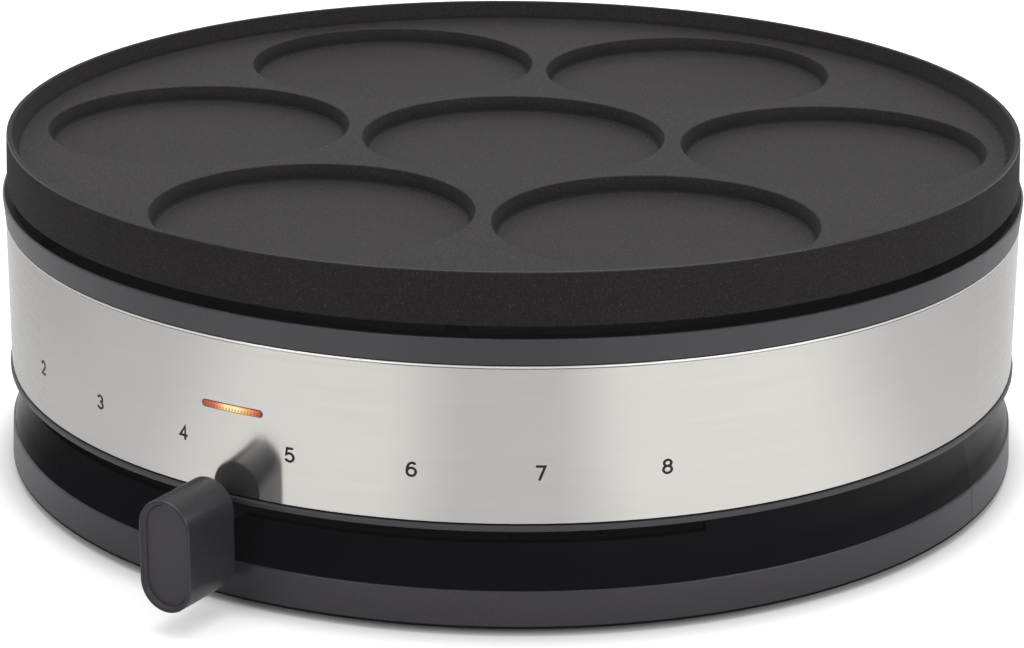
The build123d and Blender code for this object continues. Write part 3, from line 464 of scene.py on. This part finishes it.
# tone, grain size, tone drift, roughness, bump strength and specular level of each moulded piece's plastic
plasticLooks = {
    "collarPlastic": ("2b2a30", 0.0004, 0.03, 0.31, 0.07, 0.45),
    "shellPlastic": ("3a393c", 0.0004, 0.03, 0.38, 0.08, 0.35),
    "basePlastic": ("322f36", 0.0005, 0.03, 0.31, 0.07, 0.38),
    "neckPlastic": ("121114", 0.0005, 0.03, 0.17, 0.015, 0.15),
    "knobPlastic": ("2a292e", 0.0004, 0.03, 0.26, 0.05, 0.5),
    "knobFacePlastic": ("343137", 0.0004, 0.02, 0.42, 0.06, 0.28),
    "coverPlastic": ("222124", 0.0006, 0.05, 0.48, 0.15, 0.4),
    "sleeving": ("7a2a1c", 0.0008, 0.08, 0.6, 0.2, 0.4),
    "thermostatCase": ("8a7a63", 0.0009, 0.08, 0.55, 0.25, 0.4),
    "terminalPlastic": ("c9c4b6", 0.0007, 0.05, 0.45, 0.15, 0.5),
    "footRubber": ("1d1d1f", 0.0008, 0.06, 0.75, 0.3, 0.3),
}
skinDepth = 0.00005


def makePlasticParts(name):
    tone, grain, drift, roughness, strength, level = plasticLooks[name]
    material, tree, shader = newMaterial(name, specularLevel=level, **strayGlow)
    finish = useGroup(tree, mouldedSkin, tone=fromHex(tone), grainSize=grain, toneDrift=drift,
                      roughnessBase=roughness)
    dress(tree, shader, finish, strength, skinDepth)
    return material, tree, shader, finish


def makePlastic(name):
    return makePlasticParts(name)[0]


shellLook = {
    "seatHeight": 0.00066,      # painted shadow line between the lip and the band
    "seatShadowTone": "060606",
    "seatLevel": 0.02,
    "seatBlend": 0.00005,
}


def makeShell():
    look = shellLook
    material, tree, shader, finish = makePlasticParts("shellPlastic")
    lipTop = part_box("steel_band")[0].z - look["seatHeight"]
    # painted shadow: a dark line along the top of the lip, where the band's edge shades it
    seat = softStep(tree, heightOf(tree), lipTop - look["seatBlend"], lipTop + look["seatBlend"])
    blendTone(tree, shader, seat, finish["Color"], look["seatShadowTone"])
    blendInput(tree, shader, "Specular IOR Level", seat, plainLevel(shader), look["seatLevel"])
    return material


knobLook = {
    "bearing": -1.3,
    "size": (0.0201, 0.0392),   # width and height
    "border": 0.0011,           # flat rim round the sunk face
    "borderBlend": 0.0001,
    "wallDepths": (0.0001, 0.0003),     # depths behind the front between which the rim passes into the walls
    "recessLightTone": "4e4b50",
    "rimRoughness": 0.42,
    "rimLevel": 0.28,
}


def makeKnob():
    # the front rim is as matt as the face, and the sunk wall inside it is painted lighter, as painted light
    # over its own shade
    look = knobLook
    material, tree, shader, finish = makePlasticParts("knobPlastic")
    low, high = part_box("lever_knob")
    middle = (low.z + high.z) / 2
    width, tall = look["size"]
    turn = radians(look["bearing"])
    front = -low.y / cos(turn) - abs(sin(turn)) * width / 2
    out = reachAlong(tree, atBearing(look["bearing"], 1.0, 0.0))
    across = reachAlong(tree, atBearing(look["bearing"] + 90, 1.0, 0.0))
    upright = calc(tree, "ABSOLUTE", calc(tree, "SUBTRACT", heightOf(tree), middle))
    straight = (tall - width) / 2
    above = calc(tree, "MAXIMUM", calc(tree, "SUBTRACT", upright, straight), 0.0)
    reach = calc(tree, "SQRT", calc(tree, "ADD", calc(tree, "MULTIPLY", across, across),
                                    calc(tree, "MULTIPLY", above, above)))
    half = width / 2 - look["border"]
    inside = softStep(tree, reach, half + look["borderBlend"], half - look["borderBlend"])
    depth = calc(tree, "SUBTRACT", front, out)
    behind = softStep(tree, depth, *look["wallDepths"])
    # painted light: the sunk wall inside the rim is lightened
    blendTone(tree, shader, calc(tree, "MULTIPLY", inside, behind), finish["Color"], look["recessLightTone"])
    blendInput(tree, shader, "Roughness", behind, look["rimRoughness"], finish["Roughness"])
    blendInput(tree, shader, "Specular IOR Level", behind, look["rimLevel"], plainLevel(shader))
    return material


baseLook = {
    "contactShadowHeights": (0.00112, 0.0008),       # painted contact shadow along the lower edge, full below the second height
    "contactShadowTone": "0c0b0d",
    "edgeLevel": 0.0,
}


def makeBase():
    look = baseLook
    material, tree, shader, finish = makePlasticParts("basePlastic")
    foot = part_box("base_ring_front")[0].z
    # painted shadow: the lowest strip of the ring is darkened where it meets the floor
    edge = softStep(tree, heightOf(tree), *[foot + height for height in look["contactShadowHeights"]])
    blendTone(tree, shader, edge, finish["Color"], look["contactShadowTone"])
    blendInput(tree, shader, "Specular IOR Level", edge, plainLevel(shader), look["edgeLevel"])
    return material


neckLook = {
    "stray": 0.004,
    "footLevel": 0.02,      # duller towards the base ring
    "dullHeights": (0.022, 0.036),
}


def makeNeck():
    look = neckLook
    material, tree, shader, finish = makePlasticParts("neckPlastic")
    level = spread(tree, heightOf(tree), *look["dullHeights"], look["footLevel"], plainLevel(shader))
    link(tree, level, shader.inputs["Specular IOR Level"])
    # painted light: a faint glow that lifts the neck's shade
    shader.inputs["Emission Strength"].default_value = look["stray"]
    return material


bandLook = {
    "bright": "b4b1ae",
    "dull": "afaca9",
    "pitch": 0.00016,
    "length": 0.03,
    "roughness": 0.11,
    "spread": 0.02,
    "anisotropy": 0.88,
    "anisotropicTurn": 0.25,
    "haze": (0.62, 1.0),    # the scratches scatter a little light, as a rough coat over the mirror
    "hazeWeave": (0.44, 0.56),      # heights in the weave over which the haze grows
    "hazeRoughness": 0.5,
    "hazeIor": 1.85,
    "bumpStrength": 0.09,
    "bumpHeight": 0.00001,
    "beadHighlightTone": "d8d5d2",       # painted highlight along the bead at the upper edge, over a painted shadow in the groove below it
    "beadHeight": 0.0007,
    "beadBlend": 0.00003,
    "grooveShadowTone": "6f6d6b",
    "grooveHeight": 0.00028,
}


def makeBrushedBand():
    look = bandLook
    material, tree, shader = newMaterial("brushedBand", metallic=1.0, anisotropic=look["anisotropy"],
                                         anisotropicRotation=look["anisotropicTurn"],
                                         coatRoughness=look["hazeRoughness"], coatIor=look["hazeIor"])
    bandLow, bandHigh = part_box("steel_band")
    finish = useGroup(tree, brushedLines, brightTone=fromHex(look["bright"]), dullTone=fromHex(look["dull"]),
                      linePitch=look["pitch"], lineLength=look["length"],
                      bodyRadius=(bandHigh.x - bandLow.x) / 2,
                      roughnessBase=look["roughness"], roughnessSpread=look["spread"])
    dress(tree, shader, finish, look["bumpStrength"], look["bumpHeight"])
    height = heightOf(tree)
    toned = finish["Color"]
    beadFoot = bandHigh.z - look["beadHeight"]
    # painted shadow in the groove, then painted highlight on the bead above it
    for foot, tone in ((beadFoot - look["grooveHeight"], look["grooveShadowTone"]), (beadFoot, look["beadHighlightTone"])):
        above = softStep(tree, height, foot - look["beadBlend"], foot + look["beadBlend"])
        toned = blendColours(tree, above, toned, fromHex(tone))
    link(tree, toned, shader.inputs["Base Color"])
    haze = spread(tree, finish["Height"], *look["hazeWeave"], *look["haze"])
    link(tree, haze, shader.inputs["Coat Weight"])
    around = place(tree, "Tangent", direction_type="RADIAL", axis="Z")
    link(tree, around.outputs[0], shader.inputs["Tangent"])
    return material


# clean and aged tone, ageing, pitch of the rolling marks, roughness and bump strength
metalLooks = {
    "panSteel": ("c9c8c4", "8d857a", 0.25, 0.0007, 0.3, 0.12),
    "darkSteel": ("1a1919", "131212", 0.35, 0.0005, 0.5, 0.15),
    "heaterSheath": ("4b4a48", "35322f", 0.35, 0.0008, 0.48, 0.2),
    "zincSteel": ("b9bbbd", "8f8e86", 0.25, 0.0004, 0.28, 0.1),
}
rolledDepth = 0.00003


def makeMetalParts(name):
    clean, aged, ageing, pitch, roughness, strength = metalLooks[name]
    material, tree, shader = newMaterial(name, metallic=1.0, **strayGlow)
    finish = useGroup(tree, sheetMetal, cleanTone=fromHex(clean), agedTone=fromHex(aged), ageing=ageing,
                      markPitch=pitch, roughnessBase=roughness)
    dress(tree, shader, finish, strength, rolledDepth)
    return material, tree, shader, finish


def makeMetal(name):
    return makeMetalParts(name)[0]


panLook = {
    "flangeFrom": 0.1655,       # darker outside this radius: painted shade where the pan's edge shows through the gap under the plate
    "flangeBlend": 0.0002,
    "flangeShadeTone": "151414",
    "flangeRoughness": 0.7,
    "flangeLevel": 0.15,
}


def makePan():
    look = panLook
    material, tree, shader, finish = makeMetalParts("panSteel")
    flange = softStep(tree, radiusOf(tree), look["flangeFrom"] - look["flangeBlend"], look["flangeFrom"])
    # painted shade on the flange, which lies in the dark gap under the plate
    blendTone(tree, shader, flange, finish["Color"], look["flangeShadeTone"])
    blendInput(tree, shader, "Metallic", flange, 1.0, 0.0)
    blendInput(tree, shader, "Roughness", flange, finish["Roughness"], look["flangeRoughness"])
    shader.inputs["Specular IOR Level"].default_value = look["flangeLevel"]
    return material


lensLook = {
    "length": 0.024,
    "height": 0.0027,
    # share of the half length, from the left end to the right end
    "colours": [(-1.0, "4a1a10"), (-0.9, "9a4426"), (-0.6, "c25f36"), (-0.42, "e8944e"), (-0.2, "fbe09a"),
                (0.2, "fce6a6"), (0.5, "eda65a"), (0.75, "cf6c3a"), (0.9, "9a4424"), (1.0, "3c140c")],
    "outline": "4a2c18",
    "outlineFrom": (0.6, 0.95),     # shares of the half height
    "glow": 0.86,
    "ribPitch": 0.0012,
    "ribDepth": 0.0002,
    "ribStrength": 0.5,
    "ribTone": "8a5424",
    "ribShare": 0.8,
    "ribWidth": (-0.2, 0.8),
    "ribBand": ((0.05, -0.25), (-0.75, -0.5)),      # upper and lower end of the strip where the ribs show
    "bodyShare": 0.25,
    "roughness": 0.25,
    "ior": 1.49,
}


def makeLitLens():
    # amber window lit from behind: pale in the middle, redder towards its ends, with upright ribs
    look = lensLook
    material, tree, shader = newMaterial("litLens", roughness=look["roughness"], ior=look["ior"],
                                         emissionStrength=look["glow"])
    low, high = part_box("indicator_lens")
    level = (low.z + high.z) / 2
    spot = spotOf(tree)
    halfLength = look["length"] / 2
    ramp = place(tree, "ValToRGB")
    for number, (share, tone) in enumerate(look["colours"]):
        position = (share + 1) / 2
        stop = ramp.color_ramp.elements[number] if number < 2 else ramp.color_ramp.elements.new(position)
        stop.position = position
        stop.color = fromHex(tone)
    link(tree, spread(tree, spot["X"], -halfLength, halfLength, 0.0, 1.0), ramp.inputs[0])
    upwards = calc(tree, "DIVIDE", calc(tree, "SUBTRACT", spot["Z"], level), look["height"] / 2)
    ribs = calc(tree, "SINE", calc(tree, "MULTIPLY", spot["X"], 2 * pi / look["ribPitch"]))
    lower = calc(tree, "MULTIPLY", *[softStep(tree, upwards, *limits) for limits in look["ribBand"]])
    ribMask = calc(tree, "MULTIPLY", lower, softStep(tree, ribs, *look["ribWidth"]))
    ribMask = calc(tree, "MULTIPLY", ribMask, look["ribShare"])
    warm = blendColours(tree, ribMask, ramp.outputs[0], fromHex(look["ribTone"]), way="MULTIPLY")
    edge = softStep(tree, calc(tree, "ABSOLUTE", upwards), *look["outlineFrom"])
    warm = blendColours(tree, edge, warm, fromHex(look["outline"]))
    link(tree, warm, shader.inputs["Emission Color"])
    link(tree, blendColours(tree, look["bodyShare"], fromHex("000000"), warm), shader.inputs["Base Color"])
    link(tree, bump(tree, ribs, look["ribStrength"], look["ribDepth"]), shader.inputs["Normal"])
    return material


glassLook = {
    "tone": "ffb060",
    "swirlTone": "ff9a3c",
    "swirlScale": 300.0,
    "glow": 2.0,
    "roughness": 0.08,
    "ior": 1.5,
}


def makeGlowingGlass():
    look = glassLook
    material, tree, shader = newMaterial("glowingGlass", roughness=look["roughness"], ior=look["ior"],
                                         emissionStrength=look["glow"])
    swirl = noise(tree, place(tree, "TexCoord").outputs["Object"], look["swirlScale"], detail=2.0)
    warm = blendColours(tree, swirl, fromHex(look["tone"]), fromHex(look["swirlTone"]))
    link(tree, warm, shader.inputs["Base Color"])
    link(tree, warm, shader.inputs["Emission Color"])
    return material


slotMaterials = {
    "nonstick_coating": makeCoating(),
    "collar_plastic": makePlastic("collarPlastic"),
    "shell_plastic": makeShell(),
    "base_plastic": makeBase(),
    "neck_plastic": makeNeck(),
    "knob_plastic": makeKnob(),
    "brushed_band": makeBrushedBand(),
    "amber_lens": makeLitLens(),
    "lamp_glass": makeGlowingGlass(),
    "pan_steel": makePan(),
    "dark_steel": makeMetal("darkSteel"),
    "heater_sheath": makeMetal("heaterSheath"),
    "zinc_steel": makeMetal("zincSteel"),
    "cover_plastic": makePlastic("coverPlastic"),
    "foot_rubber": makePlastic("footRubber"),
    "thermostat_case": makePlastic("thermostatCase"),
    "terminal_plastic": makePlastic("terminalPlastic"),
    "lead_insulation": makePlastic("sleeving"),
}

for node in cadNodes.values():
    slotName = node.data.materials[0].name
    node.data.materials[0] = slotMaterials[slotName]
cadNodes["knob_face"].data.materials[0] = makePlastic("knobFacePlastic")
print("materials:", len(slotMaterials))

# figures printed on the band, 2 to 8 from left to right


def arcPoints(centre, radii, fromAngle, toAngle, steps=18):
    across, up = radii if isinstance(radii, tuple) else (radii, radii)
    turns = [radians(fromAngle + (toAngle - fromAngle) * i / steps) for i in range(steps + 1)]
    return [(centre[0] + across * cos(t), centre[1] + up * sin(t)) for t in turns]


# strokes as centre lines in millimetres from the figure's lower left corner
figureLook = {
    "ink": "1b1917",
    "inkGrain": 0.0003,
    "inkDrift": 0.05,
    "inkRoughness": 0.45,
    "inkLevel": 0.3,
    "inkBump": (0.1, 0.00002),
    "stroke": 0.92,
    "width": 3.8,
    "height": 5.9,
    "squeeze": (0.94, 0.87),    # printed size over drawn size, across and up
    "level": 0.0569,        # middle of the figures above the table
    "firstNumber": 2,
    "firstBearing": -31.95,
    "step": 90.0 / 7,
    "thickness": 0.00005,
    "strokes": [
        [arcPoints((1.9, 4.02), 1.53, 170, -38) + [(0.42, 0.35), (3.55, 0.35)]],
        [arcPoints((1.82, 4.3), (1.35, 1.25), 165, -90), arcPoints((1.82, 1.7), (1.5, 1.35), 90, -165)],
        [[(2.62, 0.0), (2.62, 5.45), (0.3, 1.75), (3.65, 1.75)]],
        [[(3.3, 5.55), (1.0, 5.55), (0.62, 3.05)] + arcPoints((1.85, 1.98), (1.6, 1.63), 130, -155)],
        [arcPoints((1.9, 1.93), (1.55, 1.58), 0, 360, 28),
         [(0.36, 2.0), (0.42, 3.35), (0.8, 4.5), (1.45, 5.3), (2.15, 5.55), (2.85, 5.4), (3.3, 4.8)]],
        [[(0.3, 5.55), (3.5, 5.55), (1.5, 0.0)]],
        [arcPoints((1.9, 4.33), (1.3, 1.22), 0, 360, 24), arcPoints((1.9, 1.75), (1.52, 1.4), 0, 360, 28)],
    ],
}


def ribbon(points, half, closeTo=1e-6, sharpest=0.5):
    # the two edges of a stroke, mitred at its corners
    closed = (Vector(points[0]) - Vector(points[-1])).length < closeTo
    if closed:
        points = points[:-1]
    count = len(points)
    edges = []
    for i, point in enumerate(points):
        before = points[i - 1] if i or closed else None
        after = points[(i + 1) % count] if i < count - 1 or closed else None
        ends = ((before, point), (point, after))
        runs = [Vector(end) - Vector(start) for start, end in ends if start and end]
        normals = [Vector((-run.y, run.x)).normalized() for run in runs]
        side = sum(normals, Vector((0, 0))).normalized()
        side *= half / max(side.dot(normals[0]), sharpest)
        edges.append((Vector(point) + side, Vector(point) - side))
    return edges, closed


def onBand(spot, lift, bandRadius, bearing):
    # where a spot of a figure's drawing lies on the band, in metres
    look = figureLook
    narrower, lower = [share / 1000 for share in look["squeeze"]]
    along = (spot.x - look["width"] / 2) * narrower / bandRadius
    height = look["level"] + (spot.y - look["height"] / 2) * lower
    angle = radians(bearing) + along
    reach = bandRadius + lift
    return reach * sin(angle), -reach * cos(angle), height


def makeFigures():
    look = figureLook
    bandLow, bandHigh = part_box("steel_band")
    bandRadius = (bandHigh.x - bandLow.x) / 2
    material = makeInk()
    thick = look["thickness"]
    for number, strokes in enumerate(look["strokes"], look["firstNumber"]):
        bearing = look["firstBearing"] + (number - look["firstNumber"]) * look["step"]
        shape = bmesh.new()
        for points in strokes:
            edges, closed = ribbon(points, look["stroke"] / 2)
            rows = []
            for left, right in edges:
                corners = ((left, 0), (left, thick), (right, thick), (right, 0))
                rows.append([shape.verts.new(onBand(spot, lift, bandRadius, bearing))
                             for spot, lift in corners])
            pairs = list(zip(rows, rows[1:])) + ([(rows[-1], rows[0])] if closed else [])
            for here, there in pairs:
                for i in range(4):
                    j = (i + 1) % 4
                    shape.faces.new((here[i], here[j], there[j], there[i]))
            if not closed:
                shape.faces.new(rows[0][::-1])
                shape.faces.new(rows[-1])
        bmesh.ops.recalc_face_normals(shape, faces=shape.faces)
        name = f"figure{number}"
        figure = newObject(name, newMesh(name, shape, material))
        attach(figure, "housing")


def makeInk():
    look = figureLook
    material, tree, shader = newMaterial("printedInk", specularLevel=look["inkLevel"])
    finish = useGroup(tree, mouldedSkin, tone=fromHex(look["ink"]), grainSize=look["inkGrain"],
                      toneDrift=look["inkDrift"], roughnessBase=look["inkRoughness"])
    dress(tree, shader, finish, *look["inkBump"])
    return material


makeFigures()
print("figures printed")

# camera

cameraLook = {
    "bearing": 29.4,        # degrees to the right of the front
    "distance": 1.1681,     # from the upright axis
    "height": 0.4444,
    "tilt": 18.936,         # degrees below the horizon
    "roll": 0.4412,
    "lens": 115.306,
    "sensor": 36.0,
}


def makeCamera():
    look = cameraLook
    data = bpy.data.cameras.new("studioCamera")
    data.lens = look["lens"]
    data.sensor_width = look["sensor"]
    camera = newObject("studioCamera", data)
    turn = Matrix.Rotation(radians(look["bearing"]), 4, "Z")
    turn = turn @ Matrix.Rotation(radians(90 - look["tilt"]), 4, "X")
    turn = turn @ Matrix.Rotation(radians(look["roll"]), 4, "Z")
    spot = atBearing(look["bearing"], look["distance"], look["height"])
    camera.matrix_world = Matrix.Translation(spot) @ turn
    bpy.context.scene.camera = camera


makeCamera()

# studio: pale floor, white surroundings, soft lamps and a dark curtain on the camera's side of the room

studioLook = {
    "floorReach": 6.0,
    "floorTone": "e6e6e6",
    "seenGlow": 0.5,        # towards the camera
    "mirroredGlow": 0.1,    # towards metal and glass
    "secondMirror": 1.5,    # glossy depth above which a mirror is seen in a mirror
    "glowFrom": 0.1785,     # the glow starts at the body's foot
    "glowTo": 0.2025,
    "glowStretch": 0.03,    # a little later at the sides
    "contactReach": 0.010,  # contact shadow
    "contactDepth": 1.0,
    "contactSamples": 12,
    "lowTone": "303030",    # painted shade: the floor on the left is darker as seen in a mirror at a low angle
    "lowFrom": (0.31, 0.17),
    "lowReach": (-0.09, -0.17),
    "poolGlow": 0.48,       # lighter pools that only the metal mirrors
    "poolReach": (0.22, 0.26),
    # bearing and soft width of each pool's two ends, in degrees
    "pools": [(-22.6, 27.0, 15.2, 15.0), (42.6, 15.0, 90.0, 29.0)],
    "sideFade": (60.0, 115.0),    # degrees from the camera over which the mirrored floor dims
    "sideGlow": 0.5,
    "sideTone": "cbcbcb",
    "farFade": (0.55, 0.85),    # metres over which the mirrored floor dims outwards
    "farTone": "6c6c6c",
    "worldStrength": 0.62,
    "curtainRadius": 2.2,
    "curtainHalfAngle": 118.0,
    "curtainFade": 20.0,
    "curtainHeight": 0.95,
    "curtainTopFade": 0.5,      # share of the height
    "curtainSteps": 48,
    "curtainTone": "141415",
}


def newStageMaterial(name):
    # with its Principled shader taken out
    material, tree, shader = newMaterial(name)
    tree.nodes.remove(shader)
    return material, tree


def rayPath(tree):
    # what a ray has met so far, and 1 where metal or glass has sent it on
    path = place(tree, "LightPath").outputs
    return path, calc(tree, "MAXIMUM", path["Is Glossy Ray"], path["Is Transmission Ray"])


def makeFloor():
    look = studioLook
    material, tree = newStageMaterial("floorPaper")
    paper = place(tree, "BsdfDiffuse")
    glow = place(tree, "Emission", {"Color": (1, 1, 1, 1)})
    distance = radiusOf(tree)
    # the glow rises steeply beside the body's foot, then levels off
    sideways = reachAlong(tree, atBearing(cameraLook["bearing"] + 90, 1.0, 0.0))
    stretch = calc(tree, "MULTIPLY", calc(tree, "MULTIPLY", sideways, sideways), look["glowStretch"])
    squared = calc(tree, "MULTIPLY", distance, distance)
    stretched = calc(tree, "SQRT", calc(tree, "SUBTRACT", squared, stretch))
    inside = spread(tree, stretched, look["glowFrom"], look["glowTo"], 1.0, 0.0)
    outside = calc(tree, "SUBTRACT", 1.0, calc(tree, "MULTIPLY", inside, inside))
    contact = place(tree, "AmbientOcclusion", {"Distance": look["contactReach"]},
                    samples=look["contactSamples"])
    unshaded = calc(tree, "POWER", contact.outputs["AO"], look["contactDepth"])
    outside = calc(tree, "MULTIPLY", outside, unshaded)
    bearing = bearingOf(tree, spotOf(tree))
    pools = 0.0
    for start, startWidth, end, endWidth in look["pools"]:
        rise = [radians(start + side * startWidth / 2) for side in (-1, 1)]
        fall = [radians(end + side * endWidth / 2) for side in (1, -1)]
        pool = calc(tree, "MULTIPLY", softStep(tree, bearing, *rise), softStep(tree, bearing, *fall))
        pools = calc(tree, "MAXIMUM", pools, pool)
    pools = calc(tree, "MULTIPLY", pools, softStep(tree, distance, *look["poolReach"]))
    # the mirrored floor dims towards the sides and the back
    turned = calc(tree, "SUBTRACT", bearing, radians(cameraLook["bearing"]))
    turned = calc(tree, "ARCCOSINE", calc(tree, "COSINE", turned))
    fading = softStep(tree, turned, *[radians(angle) for angle in look["sideFade"]])
    path, mirrored = rayPath(tree)
    far = softStep(tree, distance, *look["farFade"])
    tone = blendColours(tree, calc(tree, "MULTIPLY", mirrored, fading), fromHex(look["floorTone"]),
                        fromHex(look["sideTone"]))
    tone = blendColours(tree, calc(tree, "MULTIPLY", mirrored, far), tone, fromHex(look["farTone"]))
    lift = place(tree, "SeparateXYZ")
    link(tree, place(tree, "NewGeometry").outputs["Incoming"], lift.inputs[0])
    low = calc(tree, "MULTIPLY", softStep(tree, lift.outputs["Z"], *look["lowFrom"]),
               softStep(tree, sideways, *look["lowReach"]))
    # painted shade on the floor that only mirrors see, on the left at a low angle
    tone = blendColours(tree, calc(tree, "MULTIPLY", mirrored, low), tone, fromHex(look["lowTone"]))
    link(tree, tone, paper.inputs["Color"])
    evenGlow = spread(tree, fading, 0.0, 1.0, 1.0, look["sideGlow"])
    evenGlow = calc(tree, "MULTIPLY", evenGlow, look["mirroredGlow"])
    mirrorGlow = calc(tree, "ADD", evenGlow, calc(tree, "MULTIPLY", pools, look["poolGlow"]))
    unlit = calc(tree, "MAXIMUM", far, low)
    mirrorGlow = calc(tree, "MULTIPLY", mirrorGlow, calc(tree, "SUBTRACT", 1.0, unlit))
    # a mirror in a mirror sees the floor as the camera does
    again = calc(tree, "GREATER_THAN", path["Glossy Depth"], look["secondMirror"])
    mirrorGlow = spread(tree, again, 0.0, 1.0, mirrorGlow, look["seenGlow"])
    strength = calc(tree, "ADD", calc(tree, "MULTIPLY", path["Is Camera Ray"], look["seenGlow"]),
                    calc(tree, "MULTIPLY", mirrored, mirrorGlow))
    link(tree, calc(tree, "MULTIPLY", strength, outside), glow.inputs["Strength"])
    both = place(tree, "AddShader")
    link(tree, paper.outputs[0], both.inputs[0])
    link(tree, glow.outputs[0], both.inputs[1])
    link(tree, both.outputs[0], tree.nodes["Material Output"].inputs["Surface"])
    shape = bmesh.new()
    bmesh.ops.create_grid(shape, x_segments=2, y_segments=2, size=look["floorReach"])
    floor = newObject("studioFloor", newMesh("studioFloor", shape, material))


def makeWorld():
    world = bpy.data.worlds.new("studioRoom")
    bpy.context.scene.world = world
    world.use_nodes = True
    tree = world.node_tree
    backdrop = tree.nodes["Background"]
    path, mirrored = rayPath(tree)
    seen = calc(tree, "MAXIMUM", path["Is Camera Ray"], mirrored)
    backdrop.inputs["Color"].default_value = (1, 1, 1, 1)
    link(tree, spread(tree, seen, 0.0, 1.0, studioLook["worldStrength"], 1.0), backdrop.inputs["Strength"])


def makeCurtain():
    # dark cloth round the camera's side of the room, whose edges fade out; the camera looks through it
    look = studioLook
    shape = bmesh.new()
    uvs = shape.loops.layers.uv.new("cloth")
    steps = look["curtainSteps"]
    columns = []
    for step in range(steps + 1):
        bearing = cameraLook["bearing"] + look["curtainHalfAngle"] * (2 * step / steps - 1)
        columns.append([shape.verts.new(atBearing(bearing, look["curtainRadius"], height))
                        for height in (0.0, look["curtainHeight"])])
    for step in range(steps):
        (lowLeft, highLeft), (lowRight, highRight) = columns[step:step + 2]
        face = shape.faces.new((lowLeft, lowRight, highRight, highLeft))
        for loop, uv in zip(face.loops, ((step, 0), (step + 1, 0), (step + 1, 1), (step, 1))):
            loop[uvs].uv = (uv[0] / steps, uv[1])
    material, tree = newStageMaterial("curtainCloth")
    cloth = place(tree, "BsdfDiffuse", {"Color": fromHex(look["curtainTone"])})
    clear = place(tree, "BsdfTransparent")
    uv = place(tree, "SeparateXYZ")
    link(tree, place(tree, "TexCoord").outputs["UV"], uv.inputs[0])
    fromMiddle = calc(tree, "ABSOLUTE", calc(tree, "SUBTRACT", uv.outputs["X"], 0.5))
    fade = look["curtainFade"] / (2 * look["curtainHalfAngle"])
    sideFade = spread(tree, fromMiddle, 0.5, 0.5 - fade, 0.0, 1.0)
    topFade = spread(tree, uv.outputs["Y"], 1.0, 1.0 - look["curtainTopFade"], 0.0, 1.0)
    both = place(tree, "MixShader")
    link(tree, calc(tree, "MULTIPLY", sideFade, topFade), both.inputs[0])
    link(tree, clear.outputs[0], both.inputs[1])
    link(tree, cloth.outputs[0], both.inputs[2])
    link(tree, both.outputs[0], tree.nodes["Material Output"].inputs["Surface"])
    curtain = newObject("curtain", newMesh("curtain", shape, material))
    curtain.visible_camera = False


lampLooks = {
    "leftSoftbox": {"bearing": -14.0, "distance": 1.6, "height": 0.64, "size": (0.9, 0.5), "power": 4.3},
    "rightSoftbox": {"bearing": 79.0, "distance": 1.6, "height": 0.64, "size": (1.2, 0.5), "power": 6.0},
    "overheadSoftbox": {"bearing": 200.0, "distance": 0.25, "height": 1.5, "size": (1.4, 1.4), "power": 16.6},
}
lampAim = Vector((0, 0, 0.06))


def makeLamp(name):
    look = lampLooks[name]
    data = bpy.data.lights.new(name, "AREA")
    data.shape = "RECTANGLE"
    data.size, data.size_y = look["size"]
    data.energy = look["power"]
    lamp = newObject(name, data)
    spot = atBearing(look["bearing"], look["distance"], look["height"])
    lamp.location = spot
    lamp.rotation_mode = "QUATERNION"
    lamp.rotation_quaternion = (lampAim - spot).to_track_quat("-Z", "Y")
    lamp.visible_camera = False


makeFloor()
makeWorld()
makeCurtain()
for lampName in lampLooks:
    makeLamp(lampName)
bpy.context.scene.view_settings.view_transform = "Standard"
print("camera, floor and lamps in place")
